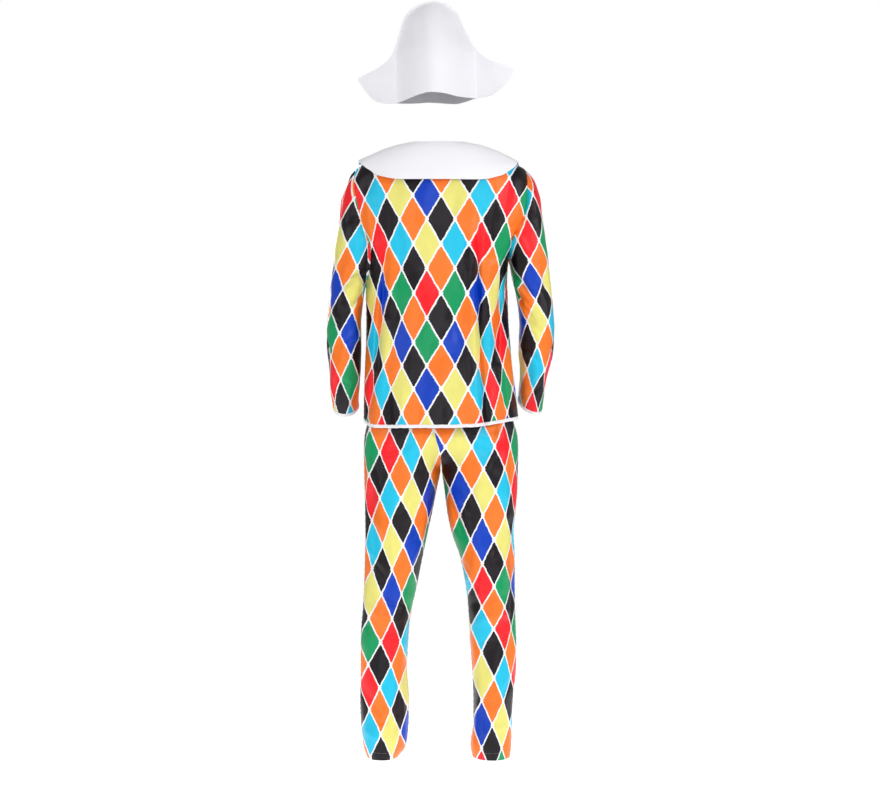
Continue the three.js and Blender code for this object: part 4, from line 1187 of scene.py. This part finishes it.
def binding_piece(name, node, edge, before):
    """A rounded strip round a closed edge: before is the ring of points just above the edge."""
    down = edge - before
    down /= np.linalg.norm(down, axis=-1, keepdims=True)
    along = np.roll(edge, -1, axis=0) - np.roll(edge, 1, axis=0)
    along /= np.linalg.norm(along, axis=-1, keepdims=True)
    out = np.cross(along, down)
    out *= np.sign(np.sum(out * (edge - edge.mean(axis=0))))
    out /= np.linalg.norm(out, axis=-1, keepdims=True)
    step = np.linalg.norm(np.roll(edge, -1, axis=0) - edge, axis=-1)
    run = np.concatenate([[0], np.cumsum(step)[:-1]])
    wave = sum(size * np.sin(run * turns + phase) for size, turns, phase in BINDING_WAVES) / 2
    profile = np.linspace(0, 2 * np.pi, BINDING_SIDES, endpoint=False)
    rounded_out = power(np.cos(profile), BINDING_FLATNESS[0]) * BINDING_THICKNESS / 2
    rounded_down = power(np.sin(profile), BINDING_FLATNESS[1]) * BINDING_HEIGHT / 2
    centre = edge - out * CLOTH / 2 + down * (BINDING_HEIGHT / 2 - BINDING_OVERLAP)
    grid = centre[None] + out[None] * rounded_out[:, None, None]
    grid = grid + down[None] * (rounded_down[:, None] + wave[None])[..., None]
    around = np.arange(BINDING_SIDES) * PLACE_STEP
    number = np.arange(BINDING_SIDES * len(edge)).reshape(BINDING_SIDES, len(edge))
    next_row, next_column = np.roll(number, -1, axis=0), np.roll(number, -1, axis=1)
    corner = np.roll(next_row, -1, axis=1)
    quads = np.stack([number, next_column, corner, next_row], axis=-1).reshape(-1, 4)
    vertices = grid.reshape(-1, 3)
    a, b, d = vertices[quads[0, 0]], vertices[quads[0, 1]], vertices[quads[0, 3]]
    if np.dot(np.cross(b - a, d - a), a - centre[0]) < 0:
        quads = quads[:, ::-1]
    places = np.stack(np.broadcast_arrays(run[None, :], around[:, None]), axis=-1).reshape(-1, 2)
    piece = mesh_object(name, vertices, quads, places, None, BINDING_CLOTH)
    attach(piece, "root")
    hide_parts(node)
    line = centre + out * BINDING_THICKNESS * STITCH_OUT - down * (BINDING_HEIGHT * STITCH_UP)
    stitch_line(name + "_stitches", [np.concatenate([line, line[:1]])])


def hem_ring(i):
    return np.concatenate([body_points["back"][i, :-1], body_points["front"][i, ::-1][:-1]])


binding_piece("hem_binding_cloth", "hem_binding", hem_ring(0), hem_ring(1))
for side in ("left", "right"):
    rings = sleeve_points[side]
    binding_piece(f"cuff_binding_{side}_cloth", f"cuff_binding_{side}", rings[-1], rings[-2])


# The trouser hems
# The cloth of each leg is turned up about 20 mm inside, and held there by a row of short stitches in a fine
# grey thread, which just shows on the outside.

LEG_HEM = 116
LEG_HEM_ENDS = (4, 176)
LEG_HEM_POINTS = 60
GREY_THREAD = white_cloth("grey_thread", (0.34, 0.32, 0.34, 1), 0.6, 900.0, 0.0002)
HEM_PITCH = 0.0032
HEM_STITCH = 0.0014
for side in ("left", "right"):
    there = np.linspace(*LEG_HEM_ENDS, LEG_HEM_POINTS)
    back_again = np.linspace(*LEG_HEM_ENDS[::-1], LEG_HEM_POINTS)
    halves = [trouser_points(side, face, np.array([LEG_HEM, LEG_HEM + 1.0]), turn)[0]
              for face, turn in (("back", there), ("front", back_again))]
    ring = np.concatenate([*halves, halves[0][:1]])
    stitch_line(f"leg_hem_{side}_stitches", [ring], HEM_PITCH, HEM_STITCH, GREY_THREAD)


# The collar
# One flat ring of smooth white cloth, about 118 mm deep, sewn round the neck and split at the centre front.
# It lies over the shoulders, and its free edge stands a little off the back.

COLLAR_EDGE = rows("turn edge", [
    [0, 1508], [22, 1509], [37, 1518], [50, 1535], [64, 1548], [90, 1557], [112, 1546], [135, 1518],
    [155, 1492], [180, 1480],
])
COLLAR_LIFT = rows("share lift", [[0, 0.4], [0.2, 3.2], [0.6, 4.6], [1, 7]])
COLLAR_ABOVE_NECK = 1
COLLAR_SPLIT = 178
COLLAR_ROUND_FROM = 148
COLLAR_THICKNESS = 0.002
COLLAR_ROUNDING = 0.8
COLLAR_GRID = (260, 34)
COLLAR_NEAR_EDGE = [0.01, 0.02]
COLLAR_SLOPE_STEP = 2
COLLAR_WAVES = ((0.0016, 5.3, 0.7), (0.0010, 11.7, 2.0))
COLLAR_EDGE_LIFT = 0.0012
COLLAR_RADIUS = 0.19
COLLAR_DEPTH = 0.118
COLLAR_CLOTH = white_cloth("collar_cloth", (0.93, 0.92, 0.96, 1), 0.8, 420.0, 0.0003)


def collar_piece():
    turn = np.linspace(-COLLAR_SPLIT, COLLAR_SPLIT, COLLAR_GRID[0])[None, :]
    share = even_with_ends(COLLAR_GRID[1], COLLAR_NEAR_EDGE)[:, None]
    size = np.abs(turn)
    near = np.clip((size - COLLAR_ROUND_FROM) / (COLLAR_SPLIT - COLLAR_ROUND_FROM), 0, 1)
    reach = share * np.sqrt(1 - COLLAR_ROUNDING * near**2)
    scoop = np.where(size > 90, NECK_SCOOP * np.cos(np.radians(turn)) ** 2, 0)
    neck = NECK_HEIGHT + COLLAR_ABOVE_NECK - scoop
    height = neck + (follow(COLLAR_EDGE, "turn", "edge", size) - neck) * reach
    level = np.minimum(height, NECK_HEIGHT)
    turns = turn * np.ones_like(level)
    points = torso_points(turns, level, wrinkled=False)
    points[..., 2] = (height - WORN_AT) * MM
    step = COLLAR_SLOPE_STEP
    across = torso_points(turns + step, level, False) - torso_points(turns - step, level, False)
    up = torso_points(turns, level + step, False) - torso_points(turns, level - step, False)
    out = np.cross(up, across)
    out /= np.linalg.norm(out, axis=-1, keepdims=True)
    lift = follow(COLLAR_LIFT, "share", "lift", reach) * MM + COLLAR_THICKNESS
    wave = sum(size * np.sin(np.radians(turns * often) + phase) for size, often, phase in COLLAR_WAVES)
    points = points + out * (lift + (wave + COLLAR_EDGE_LIFT) * reach**2)[..., None]
    run = np.radians(turns) * COLLAR_RADIUS
    uv = np.stack(np.broadcast_arrays(run, reach * COLLAR_DEPTH), axis=-1)
    piece = shell("collar_ring", points, uv, COLLAR_THICKNESS, COLLAR_CLOTH, place(0, 0, HEM_HEIGHT))
    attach(piece, "root")
    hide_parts("collar")


collar_piece()


# The hat
# Two pieces of thick white felt, cut to a bell with two drooping points, and sewn together round the outline
# 6 mm in from the edge. The crown is full and round, and the points stay flat.

FELT = 0.0022
HAT_TOP = rows("x z", [
    [-188.5, 1794], [-171.7, 1802], [-142, 1810.5], [-118, 1820.5], [-103, 1833], [-91.4, 1847.6],
    [-79.5, 1867], [-67.4, 1892], [-58, 1912.8], [-49.4, 1930.8], [-34.6, 1945.6], [-16, 1956], [7.4, 1961],
    [30, 1958], [49.4, 1951.3], [64, 1943], [72.9, 1934], [85.2, 1912.8], [94.1, 1882.9], [103.2, 1852.5],
    [112.4, 1829], [127.2, 1810.5], [150.9, 1793], [174.9, 1781], [197, 1768.5],
])
HAT_BOTTOM = rows("x z", [
    [-188.5, 1790], [-175, 1766], [-156.8, 1745], [-133.4, 1729], [-112.4, 1724], [-76.3, 1718],
    [-52.4, 1716], [-28.4, 1719], [-4.7, 1722], [19.3, 1723], [49.4, 1718.6], [70.4, 1714], [85, 1711],
    [100, 1709], [121, 1708], [142, 1710], [160, 1718], [174.9, 1734], [187, 1751], [197, 1764.5],
])
HAT_BULGE = rows("height middle halfWidth depth", [
    [1700, 3, 93, 96], [1800, 4, 93, 94], [1830, 5, 92, 89], [1852, 6.5, 86, 82], [1883, 10, 74.5, 67],
    [1913, 12, 64, 47], [1935, 12, 47, 27], [1950, 10, 28, 10], [1958, 8, 9, 1], [1962, 8, 6, 0],
])
BULGE_POWER = 2.2
BULGE_SOFTNESS = 1.3
BULGE_WIDER = 1.07
SEAM_INSET = 0.006
SEAM_FROM = (-102, 108)
SEAM_TIPS = (-174, 184)
SEAM_POINTS = (30, 200)
HAT_MIDDLE = 1800
HAT_GRID = (120, 62)
CROWN_SIDES = (40, 125)
CROWN_SIDE_POINTS = 34
# The sway of the wings: how far, from where to the side, and how long each wave is up and across
SWAY = 2.5
SWAY_MIDDLE, SWAY_FROM, SWAY_FULL_AFTER = 4, 95, 60
SWAY_FOOT, SWAY_UP, SWAY_ACROSS = 1700, 26, 40
LUMP_SHARE = 1.5


FELT_WHITE = (0.85, 0.85, 0.885, 1)
FELT_SHADE = (0.81, 0.81, 0.85, 1)


def felt_material():
    material, n, shader = new_material("white_felt")
    at = n.add("ShaderNodeTexCoord").outputs["Object"]
    fibres = n.add("ShaderNodeTexNoise", {"Vector": at, "Scale": 420.0, "Detail": 6.0, "Roughness": 0.7})
    lumps = n.add("ShaderNodeTexNoise", {"Vector": at, "Scale": 34.0, "Detail": 3.0})
    n.tree.links.new(n.mix(lumps.outputs[0], FELT_SHADE, FELT_WHITE), shader.inputs["Base Color"])
    height = n.math("MULTIPLY_ADD", lumps.outputs[0], LUMP_SHARE, fibres.outputs[0])
    bump = n.add("ShaderNodeBump", {"Height": height, "Strength": 0.45, "Distance": 0.0008})
    n.tree.links.new(bump.outputs[0], shader.inputs["Normal"])
    shader.inputs["Roughness"].default_value = 0.95
    shader.inputs["Specular IOR Level"].default_value = 0.15
    shader.inputs["Sheen Weight"].default_value = 0.06
    return material


WHITE_FELT = felt_material()


def hat_surface(x, height, away):
    """Outer points of the felt. The wings, to both sides of the crown, sway a little."""
    middle = follow(HAT_BULGE, "height", "middle", height)
    across = np.abs(x - middle) / (follow(HAT_BULGE, "height", "halfWidth", height) * BULGE_WIDER)
    rounded = np.clip(1 - across**BULGE_POWER, 0, None) ** BULGE_SOFTNESS
    depth = follow(HAT_BULGE, "height", "depth", height) * rounded
    wings = smooth((np.abs(x - SWAY_MIDDLE) - SWAY_FROM) / SWAY_FULL_AFTER)
    sway = SWAY * wings * np.sin((height - SWAY_FOOT) / SWAY_UP + x / SWAY_ACROSS)
    return place(x, away * (FELT / MM + depth) + sway, height)


def hat_piece(face, away):
    crown_side = np.linspace(*CROWN_SIDES, CROWN_SIDE_POINTS)
    whole = np.linspace(HAT_TOP["x"][0], HAT_TOP["x"][-1], HAT_GRID[0])
    x = np.unique(np.concatenate([whole, crown_side, -crown_side]).round(3))
    share = np.sin(np.pi / 2 * np.linspace(0, 1, HAT_GRID[1]))[:, None]
    top, bottom = follow(HAT_TOP, "x", "z", x), follow(HAT_BOTTOM, "x", "z", x)
    points = hat_surface(x, bottom + (top - bottom) * share, away)
    uv = points[..., [0, 2]]
    piece = shell(f"hat_{face}_felt", points, uv, FELT, WHITE_FELT, place(0, 0, HAT_MIDDLE))
    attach(piece, "root")
    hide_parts(f"hat_{face}")
    # The seam runs under one wing, over the crown and under the other wing
    wing = np.linspace(SEAM_FROM[0], SEAM_TIPS[0], SEAM_POINTS[0])
    crown = np.linspace(*SEAM_TIPS, SEAM_POINTS[1])
    other_wing = np.linspace(SEAM_TIPS[1], SEAM_FROM[1], SEAM_POINTS[0])
    lines = []
    for table, edge_x, side in ((HAT_BOTTOM, wing, 1), (HAT_TOP, crown, -1), (HAT_BOTTOM, other_wing, 1)):
        height = follow(table, "x", "z", edge_x)
        slope = np.gradient(height, edge_x)
        inward = side * SEAM_INSET / MM / np.hypot(1, slope)
        lines.append(hat_surface(edge_x - slope * inward, height + inward, away))
    seam_line = np.concatenate(lines)
    seam_line[:, 1] += away * STITCH_THICKNESS * STITCH_PROUD
    stitch_line(f"hat_{face}_seam", [seam_line])


for face, away in (("back", 1), ("front", -1)):
    hat_piece(face, away)


# The floor, the light and the camera
# A plain pale floor that runs on behind, soft studio light from all round, and a camera behind the costume at
# the height of the waist.

FLOOR_HEIGHT = -1.6
FLOOR_RADIUS = 2.6
FLOOR_SIDES = 96
CAMERA_DISTANCE = 4.75
CAMERA_HEIGHT = 1.05 + FLOOR_HEIGHT
PIXEL = 0.00247
FRAME_WIDTH, FRAME_HEIGHT = 880, 800
MIDDLE_PIXEL_X, SOLE_PIXEL_Y = 437.5, 795
SENSOR = 36.0
FLOOR_PALE = (0.93, 0.93, 0.94, 1)
FLOOR_PALER = (0.95, 0.95, 0.955, 1)
WHITE_LIGHT = (1.0, 1.0, 1.0, 1)


def add_floor():
    mesh = bpy.data.meshes.new("floor")
    turn = np.linspace(0, 2 * np.pi, FLOOR_SIDES, endpoint=False)
    corners = [(FLOOR_RADIUS * np.cos(a), FLOOR_RADIUS * np.sin(a), FLOOR_HEIGHT) for a in turn]
    mesh.from_pydata(corners, [], [tuple(range(FLOOR_SIDES))])
    floor = bpy.data.objects.new("floor", mesh)
    bpy.context.scene.collection.objects.link(floor)
    material, n, shader = new_material("pale_floor")
    at = n.add("ShaderNodeTexCoord").outputs["Object"]
    grain = n.add("ShaderNodeTexNoise", {"Vector": at, "Scale": 6.0, "Detail": 2.0}).outputs[0]
    n.tree.links.new(n.mix(grain, FLOOR_PALE, FLOOR_PALER), shader.inputs["Base Color"])
    shader.inputs["Roughness"].default_value = 0.9
    shader.inputs["Emission Color"].default_value = WHITE_LIGHT
    shader.inputs["Emission Strength"].default_value = 0.66
    mesh.materials.append(material)


add_floor()


def add_light(name, location, target, size, power_watts):
    light = bpy.data.lights.new(name, "AREA")
    light.shape = "DISK"
    light.size = size
    light.energy = power_watts
    lamp = bpy.data.objects.new(name, light)
    lamp.location = location
    direction = np.array(target) - np.array(location)
    lamp.rotation_euler = Vector(direction).to_track_quat("-Z", "Y").to_euler()
    bpy.context.scene.collection.objects.link(lamp)


add_light("key", (-0.4, 4.5, 0.2), (0, 0, -0.4), 1.1, 48)
add_light("right_side", (-3.6, 1.7, 0.8), (0, 0, -0.5), 0.7, 60)
add_light("left_side", (3.2, 2.2, 0.5), (0, 0, -0.5), 1.0, 32)
add_light("front", (1.4, -4.0, 0.6), (0, 0, -0.5), 1.8, 70)
add_light("top", (0.1, 1.6, 2.1), (0, 0, 0), 1.0, 12)

world = bpy.data.worlds.new("studio")
world.use_nodes = True
sky = world.node_tree
soft_light = sky.nodes["Background"]
soft_light.inputs["Color"].default_value = WHITE_LIGHT
soft_light.inputs["Strength"].default_value = 0.32
backdrop = sky.nodes.new("ShaderNodeBackground")
backdrop.inputs["Color"].default_value = WHITE_LIGHT
seen = sky.nodes.new("ShaderNodeLightPath")
choose = sky.nodes.new("ShaderNodeMixShader")
sky.links.new(seen.outputs["Is Camera Ray"], choose.inputs[0])
sky.links.new(soft_light.outputs[0], choose.inputs[1])
sky.links.new(backdrop.outputs[0], choose.inputs[2])
sky.links.new(choose.outputs[0], sky.nodes["World Output"].inputs["Surface"])
bpy.context.scene.world = world
bpy.context.scene.view_settings.view_transform = "Standard"

camera_data = bpy.data.cameras.new("camera")
width = FRAME_WIDTH * PIXEL
camera_data.sensor_width = SENSOR
camera_data.lens = SENSOR * CAMERA_DISTANCE / width
middle_height = (SOLE_PIXEL_Y - FRAME_HEIGHT / 2) * PIXEL + FLOOR_HEIGHT
camera_data.shift_y = (middle_height - CAMERA_HEIGHT) / width
camera_data.clip_end = 200
camera = bpy.data.objects.new("camera", camera_data)
camera.location = (-(FRAME_WIDTH / 2 - MIDDLE_PIXEL_X) * PIXEL, CAMERA_DISTANCE, CAMERA_HEIGHT)
camera.rotation_euler = (np.pi / 2, 0, np.pi)
bpy.context.scene.collection.objects.link(camera)
bpy.context.scene.camera = camera
